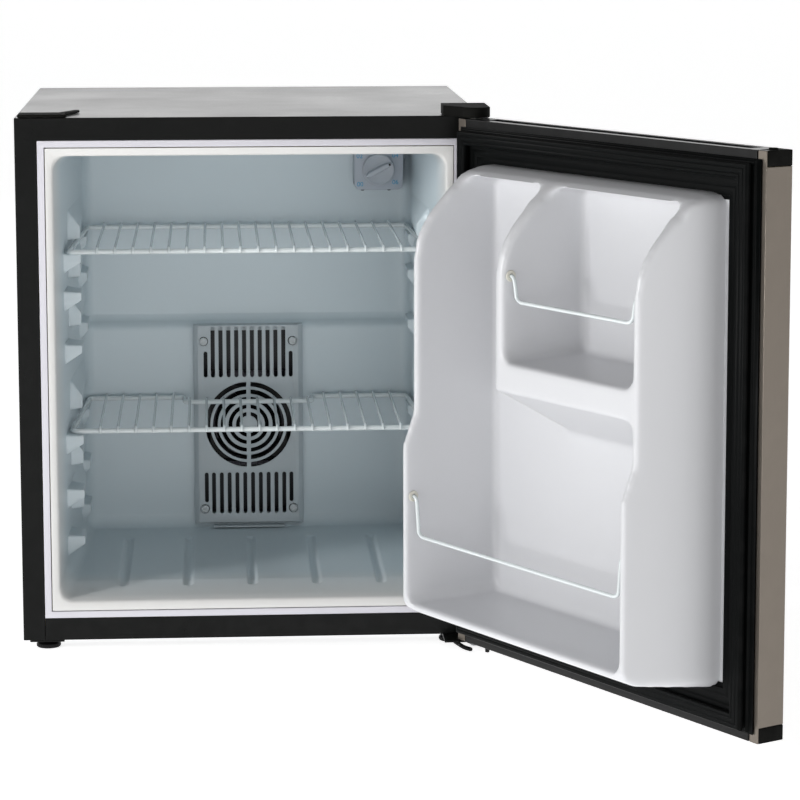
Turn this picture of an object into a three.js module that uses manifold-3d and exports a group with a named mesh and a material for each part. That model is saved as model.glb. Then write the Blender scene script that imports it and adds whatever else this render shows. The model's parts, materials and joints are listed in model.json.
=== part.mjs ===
// Thermoelectric mini fridge with its door standing open, as an assembly of separate pieces.
// Millimetres, +Z up. The origin is the centre of the cabinet's underside, the door side faces -Y,
// and the feet reach below the origin.
import * as THREE from 'three';
import { mergeVertices } from 'three/addons/utils/BufferGeometryUtils.js';
import Module from 'manifold-3d';

const wasm = await Module();
wasm.setup();

// ---------------------------------------------------------------- driving dimensions
const GAP = 0.3;                      // air between two pieces that meet
const SHEET = 1.2;                    // steel sheet of the cabinet and the door skin

const HALF_W = 220;                   // half the cabinet's width
const HEIGHT = 500;                   // underside to top, without feet
const FRONT = -223;                   // front plane of the cabinet's steel frame
const BACK = 223;
const STILE = 21;                     // width of the steel frame round the opening
const BAND = 21.5;                    // height of the frame's top band and bottom rail
const STRIP = 6.4;                    // width of the white strip inside the steel frame

const OPEN_X = 184.7;                 // half width of the mouth of the inner liner
const OPEN_Z = [37.6, 464];           // bottom and top of that mouth
const WALL = 2.2;                     // thickness of the moulded liner
const FLOOR_Z = 46;
const CEILING_Z = 455;
const REAR_X = 170.6;                 // half width of the liner at its back wall
const BACK_LOW = 83;                  // back wall below the step
const BACK_HIGH = 95;                 // back wall above the step
const STEP_Z = 262;
const LIP_Y = -172;                   // where the sill has risen to the floor

const RIB_TOPS = [396, 360.7, 323.5, 271.5, 212, 181.7, 128, 81.5];
const RIB = { height: 19, edge: 8, front: { y: [-131, -91], x: 164 }, rear: { y: [20, 72], x: 163 } };
const FLOOR_GROOVE = { pitch: 62.5, half: 4.5, y: [-188, 26] };

const FAN_Z = 155.6;                  // height of the fans' common axis
const COVER_FRONT = 72;               // front face of the inner fan cover
const COVER_X = 57;
const COVER_Z = [49.5, 261.5];
const RECESS = { x: 50, z: [57, 254], y: 118 };
const HOUSING = { x: 63, z: [24, 242], y: 134.5 };
const PANEL_Y = 212;                  // outer face of the back panel
const REAR_SCREWS = [[0, 28.5], [0, 237.5]];
const REAR_GRILLE = { x: 72, z: [16, 250], y: [PANEL_Y + GAP, BACK] };
const REAR_LOUVRES = { count: 14, pitch: 14, low: 37, height: 7 };

const THERMOSTAT = { x: [111.5, 162], z: [403, 446.5], y: 60, knobX: 136.4, knobZ: 424.2, knobR: 16.5 };

const SHELF_UPPER = { front: -136, back: 84, z: 363.5, notch: 0 };
const SHELF_LOWER = { front: -120, back: 76, z: 184.5, notch: 30 };
const FRAME_WIRE = 2.5;               // radius of a shelf's frame wire
const CROSS_WIRE = 1.4;
const CROSS_COUNT = 18;
const CROSS_PITCH = 17.4;

const HINGE = { x: 211, y: -249 };    // vertical axis of the door
const DOOR_OPEN = 120.2;              // degrees that the door stands open
const DOOR_IN = -235;                 // inner face of the door, closed
const DOOR_OUT = -263;                // outer face of the door, closed
const DOOR_Z = [0.8, 499.2];
const CAP = 13.2;                     // height of the door's plastic end caps
const TUB_X = 170;                    // half width of the door liner's tub at its foot
const TUB_Z = [37, 461];
const TUB_BASE = -231;                // back face of the racks
const RIM_HIGH = -146.5;              // rim of the racks above the step
const RIM_LOW = -133.5;               // rim of the racks below the step
const PARTITION_X = 36;
const POCKET_Z = 290;
const BAR = 1.75;                     // radius of the bottle bars' wire
const BAR_UPPER = { y: -155, z: 377, drop: 22, x: [-157.4, 25.2] };
const BAR_LOWER = { y: -142, z: 161, drop: 36, x: [-158.2, 158.2] };
const EYELET = 3.4;                   // radius of an eyelet's body

const HINGE_SCREWS = [[192, -205], [211, -205]];
const GLAND = { x: 120, z: 60 };      // cable gland in the back panel
const COVER_SCREWS = [[-46.5, 244], [46.5, 244], [-46.5, 66], [46.5, 66]];
const FOOT_SOLE = -9.5;
const FRONT_FEET = [{ side: 'left', x: -197 }, { side: 'right', x: 191 }];
const FOOT_Y = -207;
const BASE_FRONT = -190;              // where the front rail's lip ends and the base plate starts
const BASE_REAR = 170;                // where the base plate ends and the rear rail starts
const REAR_FEET = { x: 185, y: 191, r: 13 };
const PLATE = 2;                      // thickness of the hinge plates
const PIN = 3;                        // radius of the hinge pins
const BUSH = 5.5;

// ---------------------------------------------------------------- finishes
const finish = (color, roughness, metalness) => ({ color, roughness, metalness });
const BLACK_STEEL = finish(0x161817, 0.35, 0.3);
const BLACK_PLASTIC = finish(0x1a1b1b, 0.55, 0);
const RUBBER = finish(0x141414, 0.8, 0);
const WHITE_LINER = finish(0xc9d1d6, 0.4, 0);
const WHITE_DOOR = finish(0xdcdddf, 0.4, 0);
const WHITE_STRIP = finish(0xd4d3dc, 0.45, 0);
const WHITE_WIRE = finish(0xdfe5e6, 0.35, 0);
const GREY_PLASTIC = finish(0xa7afb3, 0.45, 0);
const STAINLESS = finish(0xa8988a, 0.35, 0.9);
const STEEL = finish(0x8c8f92, 0.4, 0.9);
const ALUMINIUM = finish(0xb9bdc0, 0.4, 0.9);
const FOAM = finish(0xe3d9a8, 0.9, 0);
const BOARD = finish(0x2d5b38, 0.5, 0);
const CERAMIC = finish(0xe9e7e0, 0.5, 0);

const fridge = new THREE.Group();
const door = new THREE.Group();
// The door's pieces are drawn shut; this turns them about the hinge axis to where the door stands.
const swing = new THREE.Group();
swing.position.set(HINGE.x, HINGE.y, 0);
swing.rotation.z = THREE.MathUtils.degToRad(DOOR_OPEN);
door.position.set(-HINGE.x, -HINGE.y, 0);
swing.add(door);
fridge.add(swing);

function piece(parent, name, geometry, look) {
  const material = new THREE.MeshStandardMaterial(look);
  const mesh = new THREE.Mesh(geometry, material);
  mesh.name = name;
  parent.add(mesh);
  return mesh;
}

// ---------------------------------------------------------------- solids
function toSolid(geometry) {
  const bare = geometry.clone();
  bare.deleteAttribute('normal');
  bare.deleteAttribute('uv');
  const merged = mergeVertices(bare, 1e-4);
  return new wasm.Manifold(new wasm.Mesh({
    numProp: 3,
    vertProperties: new Float32Array(merged.attributes.position.array),
    triVerts: new Uint32Array(merged.index.array),
  }));
}

function toGeometry(solid) {
  const mesh = solid.getMesh();
  const geometry = new THREE.BufferGeometry();
  geometry.setAttribute('position', new THREE.BufferAttribute(new Float32Array(mesh.vertProperties), 3));
  geometry.setIndex(new THREE.BufferAttribute(new Uint32Array(mesh.triVerts), 1));
  geometry.computeVertexNormals();
  return geometry;
}

const join = (...solids) => solids.reduce((sum, one) => sum.add(one));
const cut = (from, ...tools) => tools.reduce((rest, one) => rest.subtract(one), from);

function block([x0, x1], [y0, y1], [z0, z1]) {
  const geometry = new THREE.BoxGeometry(x1 - x0, y1 - y0, z1 - z0);
  geometry.translate((x0 + x1) / 2, (y0 + y1) / 2, (z0 + z1) / 2);
  return toSolid(geometry);
}

// A cylinder from `from` to `to` along the named axis, centred on (a, b) in the other two axes.
function drum(axis, [a, b], radius, [from, to], sides = 16) {
  const geometry = new THREE.CylinderGeometry(radius, radius, to - from, sides);
  const middle = (from + to) / 2;
  if (axis === 'x') geometry.rotateZ(Math.PI / 2).translate(middle, a, b);
  if (axis === 'y') geometry.translate(a, middle, b);
  if (axis === 'z') geometry.rotateX(Math.PI / 2).translate(a, b, middle);
  return toSolid(geometry);
}

// A straight wire between two points.
function wire(start, end, radius, sides = 6) {
  const from = new THREE.Vector3(...start);
  const along = new THREE.Vector3(...end).sub(from);
  const geometry = new THREE.CylinderGeometry(radius, radius, along.length(), sides);
  const turn = new THREE.Quaternion().setFromUnitVectors(new THREE.Vector3(0, 1, 0),
    along.clone().normalize());
  geometry.applyQuaternion(turn);
  geometry.translate(...from.addScaledVector(along, 0.5).toArray());
  return toSolid(geometry);
}

// Outline helpers: a shape drawn in X and Z, swept in Y; one drawn in Y and Z, swept in X.
function outline(points) {
  return new THREE.Shape(points.map(([a, b]) => new THREE.Vector2(a, b)));
}

function sweepY(shape, [y0, y1], curveSegments = 3) {
  const geometry = new THREE.ExtrudeGeometry(shape, { depth: y1 - y0, bevelEnabled: false, curveSegments });
  geometry.rotateX(Math.PI / 2).translate(0, y1, 0);
  return toSolid(geometry);
}

function sweepX(shape, [x0, x1]) {
  const geometry = new THREE.ExtrudeGeometry(shape, { depth: x1 - x0, bevelEnabled: false });
  const turn = new THREE.Matrix4().makeBasis(new THREE.Vector3(0, 1, 0), new THREE.Vector3(0, 0, 1),
    new THREE.Vector3(1, 0, 0));
  geometry.applyMatrix4(turn).translate(x0, 0, 0);
  return toSolid(geometry);
}

function sweepZ(shape, [z0, z1], curveSegments = 4) {
  const geometry = new THREE.ExtrudeGeometry(shape, { depth: z1 - z0, bevelEnabled: false, curveSegments });
  geometry.translate(0, 0, z0);
  return toSolid(geometry);
}

function roundedRect([x0, x1], [z0, z1], r) {
  const shape = new THREE.Shape();
  shape.moveTo(x0 + r, z0).lineTo(x1 - r, z0);
  shape.absarc(x1 - r, z0 + r, r, -Math.PI / 2, 0);
  shape.lineTo(x1, z1 - r).absarc(x1 - r, z1 - r, r, 0, Math.PI / 2);
  shape.lineTo(x0 + r, z1).absarc(x0 + r, z1 - r, r, Math.PI / 2, Math.PI);
  shape.lineTo(x0, z0 + r).absarc(x0 + r, z0 + r, r, Math.PI, Math.PI * 1.5);
  return shape;
}

// A tapering tube of rounded rectangles, each standing at its own y, closed at both ends.
function loft(sections, steps = 4) {
  const rings = sections.map(({ y, x, z, r }) => {
    const corners = [[x[1] - r, z[0] + r, -90], [x[1] - r, z[1] - r, 0],
      [x[0] + r, z[1] - r, 90], [x[0] + r, z[0] + r, 180]];
    return corners.flatMap(([cx, cz, start]) => Array.from({ length: steps + 1 }, (_, i) => {
      const angle = THREE.MathUtils.degToRad(start + 90 * i / steps);
      return [cx + r * Math.cos(angle), y, cz + r * Math.sin(angle)];
    }));
  });
  const count = rings[0].length;
  const index = [];
  for (let level = 0; level < rings.length - 1; level++) {
    for (let i = 0; i < count; i++) {
      const a = level * count + i;
      const b = level * count + (i + 1) % count;
      index.push(a, a + count, b + count, a, b + count, b);
    }
  }
  const last = (rings.length - 1) * count;
  for (let i = 1; i < count - 1; i++) {
    index.push(0, i, i + 1, last, last + i + 1, last + i);
  }
  const geometry = new THREE.BufferGeometry();
  geometry.setAttribute('position', new THREE.Float32BufferAttribute(rings.flat(2), 3));
  geometry.setIndex(index);
  return toSolid(geometry);
}

// A rectangular ring in X and Z.
function ring(outerX, outerZ, innerX, innerZ, y) {
  return cut(block([-outerX, outerX], y, outerZ), block([-innerX, innerX], [y[0] - 1, y[1] + 1], innerZ));
}

// ---------------------------------------------------------------- cabinet
function cabinetShell() {
  const body = block([-HALF_W, HALF_W], [FRONT, BACK], [0, HEIGHT]);
  const hollow = block([-HALF_W + SHEET, HALF_W - SHEET], [FRONT + SHEET, BACK + 1], [-1, HEIGHT - SHEET]);
  const mouthX = HALF_W - STILE + GAP;
  const mouth = block([-mouthX, mouthX], [FRONT - 1, FRONT + 5], [-1, HEIGHT - BAND + GAP]);
  const hingeScrews = HINGE_SCREWS.map(([x, y]) => drum('z', [x, y], 2.4, [HEIGHT - 5, HEIGHT + 5], 10));
  return cut(body, hollow, mouth, ...hingeScrews);
}

function footHole(x, radius, z) {
  return drum('z', [x, FOOT_Y], radius, z, 12);
}

function bottomRail() {
  const x = [-HALF_W + STILE, HALF_W - STILE];
  const face = block(x, [FRONT, FRONT + SHEET], [0, BAND - GAP]);
  const lip = block([-HALF_W + SHEET + GAP, HALF_W - SHEET - GAP], [FRONT + SHEET + GAP, BASE_FRONT],
    [0, SHEET]);
  const bridge = block(x, [FRONT, BASE_FRONT], [0, SHEET]);
  return cut(join(face, lip, bridge), ...FRONT_FEET.map((foot) => footHole(foot.x, 4.4, [-1, 3])));
}

function linerCavity(grow) {
  const x = (value) => [-value - grow, value + grow];
  const main = loft([
    { y: FRONT - (grow ? 0 : 1), x: x(OPEN_X), z: [OPEN_Z[0] - grow, OPEN_Z[1] + grow], r: 13 + grow },
    { y: LIP_Y, x: x(182.3), z: [FLOOR_Z - grow, CEILING_Z + 6 + grow], r: 13 + grow },
    { y: BACK_LOW + grow, x: x(REAR_X), z: [FLOOR_Z - grow, CEILING_Z + grow], r: 12 + grow },
  ]);
  const high = loft([
    { y: BACK_LOW - 6, x: x(REAR_X), z: [STEP_Z - 4 - grow, CEILING_Z + grow], r: 3 },
    { y: BACK_HIGH + grow, x: x(REAR_X - 0.6), z: [STEP_Z + 6 - grow, CEILING_Z + grow], r: 3 },
  ], 2);
  const recess = block(x(RECESS.x), [BACK_LOW - 6, RECESS.y + grow], [RECESS.z[0] - grow, RECESS.z[1] + grow]);
  return join(main, high, recess);
}

// Moulded supports for the shelves: a bracket near the front and one near the back at each level,
// flat on top and tapering back to the wall below.
function shelfRibs() {
  const wall = OPEN_X;
  const brackets = RIB_TOPS.flatMap((top) => [RIB.front, RIB.rear].flatMap(({ x, y }) => [-1, 1].map(
    (side) => sweepY(outline([[wall, top], [x, top], [x, top - RIB.edge], [x + 18, top - RIB.height],
      [wall, top - RIB.height]].map(([px, pz]) => [side * px, pz])), y))));
  return join(...brackets);
}

function innerLiner() {
  const shell = cut(linerCavity(WALL), linerCavity(0));
  const flange = ring(HALF_W - STILE - STRIP - GAP, [BAND + STRIP + GAP, HEIGHT - BAND - STRIP - GAP],
    OPEN_X + 1, [OPEN_Z[0] - 1, OPEN_Z[1] + 1], [FRONT, FRONT + WALL]);
  const ledges = shelfRibs().intersect(linerCavity(WALL / 2));
  const { pitch, half, y } = FLOOR_GROOVE;
  const grooves = [-2, -1, 0, 1, 2].map((n) => block([n * pitch - half, n * pitch + half], y,
    [FLOOR_Z - 1, FLOOR_Z + 1]));
  const blockHole = block([-22, 22], [RECESS.y - 2, RECESS.y + 6], [FAN_Z - 22, FAN_Z + 22]);
  const coverScrews = COVER_SCREWS.map(([x, z]) => drum('y', [x, z], 1.9, [BACK_LOW - 1, BACK_LOW + 9], 8));
  return cut(join(shell, flange, ledges), ...grooves, blockHole, ...coverScrews);
}

function breakerFrame() {
  const outer = HALF_W - STILE;
  const z = [BAND, HEIGHT - BAND];
  return ring(outer, z, outer - STRIP, [z[0] + STRIP, z[1] - STRIP], [FRONT - 0.2, FRONT + 10]);
}

function foamInsulation() {
  const body = block([-HALF_W + SHEET + GAP, HALF_W - SHEET - GAP], [FRONT + 11, PANEL_Y - SHEET - GAP],
    [SHEET + GAP, HEIGHT - SHEET - GAP]);
  const housing = block([-HOUSING.x - GAP, HOUSING.x + GAP], [HOUSING.y - GAP, BACK],
    [HOUSING.z[0] - GAP, HOUSING.z[1] + GAP]);
  const tunnel = block([-22, 22], [100, HOUSING.y + 1], [FAN_Z - 22, FAN_Z + 22]);
  const studs = FRONT_FEET.map((foot) => footHole(foot.x, 6, [-1, 12]));
  const hingeScrews = HINGE_SCREWS.map(([x, y]) => drum('z', [x, y], 3, [HEIGHT - 16, HEIGHT + 1], 8));
  const coverScrews = COVER_SCREWS.map(([x, z]) => drum('y', [x, z], 3, [BACK_LOW, BACK_LOW + 17], 8));
  const knobBoss = block([THERMOSTAT.x[0] - 1, THERMOSTAT.x[1] + 1], [BACK_HIGH, BACK_HIGH + 3],
    [THERMOSTAT.z[0], THERMOSTAT.z[1]]);
  const gland = drum('y', [GLAND.x, GLAND.z], 9, [PANEL_Y - 10, PANEL_Y], 12);
  return cut(body, linerCavity(WALL + GAP), housing, tunnel, ...studs, ...hingeScrews, ...coverScrews,
    knobBoss, gland);
}

function backPanel() {
  const panel = block([-HALF_W + SHEET + GAP, HALF_W - SHEET - GAP], [PANEL_Y - SHEET, PANEL_Y],
    [SHEET + GAP, HEIGHT - SHEET - GAP]);
  const window = block([-HOUSING.x - GAP, HOUSING.x + GAP], [PANEL_Y - 5, PANEL_Y + 1],
    [HOUSING.z[0] - GAP, HOUSING.z[1] + GAP]);
  return cut(panel, window, drum('y', [GLAND.x, GLAND.z], 8.4, [PANEL_Y - 5, PANEL_Y + 1]));
}

// A flat strip of the underside between two depths.
function baseStrip(from, to) {
  return block([-HALF_W + SHEET + GAP, HALF_W - SHEET - GAP], [from + GAP, to], [0, SHEET]);
}

piece(fridge, 'cabinet_shell', toGeometry(cabinetShell()), BLACK_STEEL);
piece(fridge, 'bottom_rail', toGeometry(bottomRail()), BLACK_STEEL);
piece(fridge, 'base_plate', toGeometry(baseStrip(BASE_FRONT, BASE_REAR)), STEEL);
piece(fridge, 'rear_rail', toGeometry(baseStrip(BASE_REAR, PANEL_Y - GAP)), STEEL);
piece(fridge, 'back_panel', toGeometry(backPanel()), BLACK_STEEL);
piece(fridge, 'inner_liner', toGeometry(innerLiner()), WHITE_LINER);
piece(fridge, 'breaker_frame', toGeometry(breakerFrame()), WHITE_STRIP);
piece(fridge, 'foam_insulation', toGeometry(foamInsulation()), FOAM);

// ---------------------------------------------------------------- hinges, feet and corner plug
// A plate that runs from the cabinet to a round nose about the hinge axis.
function hingeOutline(back, left, right, nose) {
  const shape = new THREE.Shape();
  shape.moveTo(left, back).lineTo(left, HINGE.y);
  shape.absarc(HINGE.x, HINGE.y, nose, Math.PI, Math.PI * 2);
  shape.lineTo(right, back).lineTo(left, back);
  return shape;
}

function topHingeBracket() {
  const z = [HEIGHT + GAP, HEIGHT + GAP + PLATE];
  const plate = sweepZ(hingeOutline(-197, HINGE.x - 9, HINGE.x + 9, 9), z);
  const wing = block([HINGE.x - 25, HINGE.x - 8], [-212, -197], z);
  const holes = HINGE_SCREWS.map(([x, y]) => drum('z', [x, y], 2.4, [z[0] - 1, z[1] + 1], 10));
  const pinHole = drum('z', [HINGE.x, HINGE.y], PIN + 0.2, [z[0] - 1, z[1] + 1]);
  return cut(join(plate, wing), ...holes, pinHole);
}

function hingePin(z, headZ) {
  return join(drum('z', [HINGE.x, HINGE.y], PIN, z), drum('z', [HINGE.x, HINGE.y], PIN + 1.6, headZ));
}

function topHingeCover() {
  const z = [HEIGHT + GAP, HEIGHT + 10];
  const plan = (wall) => {
    const nose = 13 - wall;
    const shape = new THREE.Shape();
    shape.moveTo(HINGE.x - 29 + wall, -193 - wall).lineTo(HINGE.x - 29 + wall, -226);
    shape.absarc(HINGE.x, HINGE.y, nose, Math.PI, Math.PI * 2);
    return shape.lineTo(HINGE.x + nose, -193 - wall);
  };
  return cut(sweepZ(plan(0), z), sweepZ(plan(1.8), [z[0] - 1, z[1] - 1.8]));
}

function countersunkScrew([x, y], z) {
  const head = drum('z', [x, y], 4, [z, z + 2.2], 12);
  const shank = drum('z', [x, y], 2, [z - 12, z], 8);
  const slot = block([x - 5, x + 5], [y - 0.5, y + 0.5], [z + 1.2, z + 3]);
  return cut(join(head, shank), slot);
}

function topLeftPlug() {
  const plan = outline([[-217, -222.6], [-172, -222.6], [-172, -196], [-161, -160], [-166, -158],
    [-180, -190], [-217, -190]]);
  return sweepZ(plan, [HEIGHT + GAP, HEIGHT + 3]);
}

function bottomHingeBracket() {
  const z = [-GAP - PLATE, -GAP];
  const plate = sweepZ(hingeOutline(BASE_FRONT, HINGE.x - 29, HINGE.x + 8, 8), z);
  const foot = drum('z', [FRONT_FEET[1].x, FOOT_Y], 4.4, [z[0] - 1, z[1] + 1], 12);
  const pinHole = drum('z', [HINGE.x, HINGE.y], PIN + 0.2, [z[0] - 1, z[1] + 1]);
  return cut(plate, foot, pinHole);
}

function footPlate() {
  const z = [-GAP - PLATE, -GAP];
  const plan = outline([[-214, -221], [-181, -221], [-184, -193], [-211, -193]]);
  return cut(sweepZ(plan, z), drum('z', [FRONT_FEET[0].x, FOOT_Y], 4.4, [z[0] - 1, z[1] + 1], 12));
}

function levellingFoot(x) {
  const profile = [[0, FOOT_SOLE], [11.6, FOOT_SOLE], [12, FOOT_SOLE + 1], [12, -5.6], [9, -4.4],
    [4, -4.4], [4, 9], [3.4, 10], [0, 10]];
  const geometry = new THREE.LatheGeometry(profile.map(([r, z]) => new THREE.Vector2(r, z)), 14);
  geometry.rotateX(Math.PI / 2).translate(x, FOOT_Y, 0);
  return toSolid(geometry);
}

function rearFoot(x) {
  const { y, r } = REAR_FEET;
  return cut(drum('z', [x, y], r, [FOOT_SOLE, -GAP], 16), drum('z', [x, y], 5, [FOOT_SOLE - 1, -6], 12));
}

const topPlate = HEIGHT + GAP + PLATE;
piece(fridge, 'top_hinge_bracket', toGeometry(topHingeBracket()), STEEL);
piece(fridge, 'top_hinge_pin', toGeometry(hingePin([HEIGHT - 11, topPlate + GAP],
  [topPlate + GAP, topPlate + 1.8])), STEEL);
HINGE_SCREWS.forEach((spot, i) => {
  piece(fridge, `top_hinge_screw_${i + 1}`, toGeometry(countersunkScrew(spot, topPlate + GAP)), STEEL);
});
piece(fridge, 'top_hinge_cover', toGeometry(topHingeCover()), BLACK_PLASTIC);
piece(fridge, 'top_left_plug', toGeometry(topLeftPlug()), BLACK_PLASTIC);
piece(fridge, 'bottom_hinge_bracket', toGeometry(bottomHingeBracket()), BLACK_STEEL);
piece(fridge, 'bottom_hinge_pin', toGeometry(hingePin([-GAP - PLATE - 0.6, 12],
  [-GAP - PLATE - 2.4, -GAP - PLATE - 0.3])), STEEL);
piece(fridge, 'foot_plate', toGeometry(footPlate()), BLACK_STEEL);
for (const { side, x } of FRONT_FEET) {
  piece(fridge, `foot_front_${side}`, toGeometry(levellingFoot(x)), BLACK_PLASTIC);
}
for (const [side, x] of [['left', -REAR_FEET.x], ['right', REAR_FEET.x]]) {
  piece(fridge, `foot_rear_${side}`, toGeometry(rearFoot(x)), RUBBER);
}

// ---------------------------------------------------------------- thermostat
function thermostatHousing() {
  const { x, z, y, knobX, knobZ } = THERMOSTAT;
  const outer = sweepY(roundedRect(x, z, 6), [y, BACK_HIGH - GAP]);
  const inner = sweepY(roundedRect([x[0] + 2, x[1] - 2], [z[0] + 2, z[1] - 2], 4), [y + 2, BACK_HIGH + 1]);
  return cut(outer, inner, drum('y', [knobX, knobZ], 4.4, [y - 1, y + 3]));
}

function thermostatKnob() {
  const { y, knobX, knobZ, knobR } = THERMOSTAT;
  const disc = drum('y', [knobX, knobZ], knobR, [y - 6, y - GAP], 24);
  const spindle = drum('y', [knobX, knobZ], 4, [y - 1, y + 14], 12);
  const bar = block([-knobR + 1, knobR - 1], [y - 12, y - 5], [-3, 3]);
  return join(disc, spindle, bar.rotate([0, -27, 0]).translate([knobX, 0, knobZ]));
}

piece(fridge, 'thermostat_housing', toGeometry(thermostatHousing()), finish(0x8f96a0, 0.45, 0));
piece(fridge, 'thermostat_knob', toGeometry(thermostatKnob()), finish(0x9da3ad, 0.4, 0));

// ---------------------------------------------------------------- cold side
function ringSlots(radii, y) {
  const bridge = 2.2;                 // half width of the grille's upright bar
  return radii.flatMap(([inner, outer]) => [-1, 1].map((side) => {
    const shape = new THREE.Shape();
    const a0 = Math.asin(bridge / outer);
    const a1 = Math.asin(bridge / inner);
    const base = side > 0 ? -Math.PI / 2 : Math.PI / 2;
    shape.absarc(0, 0, outer, base + a0, base + Math.PI - a0);
    shape.absarc(0, 0, inner, base + Math.PI - a1, base + a1, true);
    return sweepY(shape, y, 4).translate([0, 0, FAN_Z]);
  }));
}

function slotRow(count, pitch, halfWidth, z, y) {
  return Array.from({ length: count }, (_, i) => {
    const x = (i - (count - 1) / 2) * pitch;
    return block([x - halfWidth, x + halfWidth], y, z);
  });
}

function fanCover() {
  const x = (value) => [-value, value];
  const foot = BACK_LOW - GAP;
  const grown = (y, half, z, r) => ({ y, x: x(half), z, r });
  const outer = loft([
    grown(COVER_FRONT, 48, [COVER_Z[0] + 2, COVER_Z[1] - 1], 1.5),
    grown(COVER_FRONT + 5, COVER_X, COVER_Z, 1.5),
    grown(foot, COVER_X, COVER_Z, 1.5),
  ], 2);
  const inner = loft([
    grown(COVER_FRONT + 2, 45, [COVER_Z[0] + 4, COVER_Z[1] - 4], 1),
    grown(COVER_FRONT + 7, 41, [COVER_Z[0] + 12, COVER_Z[1] - 12], 1),
    grown(foot + 1, 41, [COVER_Z[0] + 12, COVER_Z[1] - 12], 1),
  ], 2);
  const through = [COVER_FRONT - 1, foot + 1];
  const slots = [
    ...slotRow(10, 8.2, 1.9, [206, 259.5], through), ...slotRow(2, 89, 1.9, [206, 233], through),
    ...slotRow(10, 8.2, 1.9, [61, 104.5], through), ...slotRow(2, 89, 1.9, [73, 104.5], through),
    ...ringSlots([[40.4, 45.2], [32.5, 37.2], [25.2, 29.2], [17.2, 21], [9.4, 13.2]], through),
  ];
  const screws = COVER_SCREWS.map(([sx, sz]) => drum('y', [sx, sz], 2, through, 8));
  return cut(outer, inner, ...slots, ...screws);
}

function panScrew([x, z], y, direction) {
  const reach = (a, b) => [y + direction * a, y + direction * b].sort((p, q) => p - q);
  const head = drum('y', [x, z], 4.2, reach(-2.2, 0), 12);
  const shank = drum('y', [x, z], 1.7, reach(0, 17), 8);
  const slot = block([x - 3, x + 3], reach(-3, -1.3), [z - 0.6, z + 0.6]);
  return cut(join(head, shank), slot);
}

// A square fan frame with a round throat and a motor seat on four struts.
function fanFrame(half, y, throat, seatY, seatRadius) {
  const shape = roundedRect([-half, half], [-half, half], 5);
  const hole = new THREE.Path();
  hole.absarc(0, 0, throat, 0, Math.PI * 2, true);
  shape.holes.push(hole);
  const frame = sweepY(shape, y, 6);
  const seat = drum('y', [0, 0], seatRadius, seatY, 16);
  const struts = [45, 135].map((angle) => block([-throat - 2, throat + 2], seatY, [-2, 2])
    .rotate([0, angle, 0]));
  return join(frame, seat, ...struts).translate([0, 0, FAN_Z]);
}

function fanRotor(hub, tip, y, blades) {
  const middle = (y[0] + y[1]) / 2;
  const core = drum('y', [0, 0], hub, y, 18);
  const wings = Array.from({ length: blades }, (_, i) => {
    const wing = block([hub - 2, tip], [-0.9, 0.9], [-hub * 0.55, hub * 0.55]).rotate([28, 0, 0]);
    return wing.translate([0, middle, 0]).rotate([0, i * 360 / blades, 0]);
  });
  return join(core, ...wings).translate([0, 0, FAN_Z]);
}

// A plate with a comb of upright fins on one side.
function heatSink(half, z, baseY, tipY, plate, fins, finWidth) {
  const towards = Math.sign(tipY - baseY);
  const points = [[-half, baseY], [-half, tipY]];
  const pitch = (half * 2 - finWidth) / (fins - 1);
  for (let i = 0; i < fins; i++) {
    const left = -half + i * pitch;
    if (i > 0) points.push([left, baseY + towards * plate], [left, tipY]);
    points.push([left + finWidth, tipY]);
    if (i < fins - 1) points.push([left + finWidth, baseY + towards * plate]);
  }
  points.push([half, baseY]);
  if (towards > 0) points.reverse();
  return sweepZ(outline(points), z);
}

const coldPlateY = RECESS.y - GAP;
const moduleY = [HOUSING.y - 4 - GAP, HOUSING.y - GAP];
piece(fridge, 'fan_cover', toGeometry(fanCover()), GREY_PLASTIC);
COVER_SCREWS.forEach((spot, i) => {
  piece(fridge, `fan_cover_screw_${i + 1}`, toGeometry(panScrew(spot, COVER_FRONT - GAP, 1)), WHITE_WIRE);
});
piece(fridge, 'inner_fan_frame', toGeometry(fanFrame(40, [79, 94], 37.5, [91, 94], 14)), BLACK_PLASTIC);
piece(fridge, 'inner_fan_rotor', toGeometry(fanRotor(14, 35, [80, 90.6], 7)), BLACK_PLASTIC);
piece(fridge, 'cold_heat_sink', toGeometry(heatSink(40, [105, 206], coldPlateY, 95, 4, 14, 1.6)), ALUMINIUM);
piece(fridge, 'cold_block', toGeometry(block([-20, 20], [RECESS.y, moduleY[0] - GAP],
  [FAN_Z - 20, FAN_Z + 20])), ALUMINIUM);
piece(fridge, 'peltier_module', toGeometry(block([-20, 20], moduleY, [FAN_Z - 20, FAN_Z + 20])), CERAMIC);

// ---------------------------------------------------------------- hot side
function rearHousing() {
  const { x, z, y } = HOUSING;
  const outer = block([-x, x], [y, PANEL_Y], z);
  const inner = block([-x + 2, x - 2], [y + 2, PANEL_Y + 1], [z[0] + 2, z[1] - 2]);
  const window = block([-21, 21], [y - 1, y + 3], [FAN_Z - 21, FAN_Z + 21]);
  const bosses = REAR_SCREWS.map(([sx, sz]) => block([sx - 4, sx + 4], [PANEL_Y - 14, PANEL_Y],
    [Math.max(sz - 4, z[0] + 1), Math.min(sz + 4, z[1] - 1)]));
  const holes = REAR_SCREWS.map(([sx, sz]) => drum('y', [sx, sz], 2, [PANEL_Y - 11, PANEL_Y + 1], 8));
  return cut(join(cut(outer, inner, window), ...bosses), ...holes);
}

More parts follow.
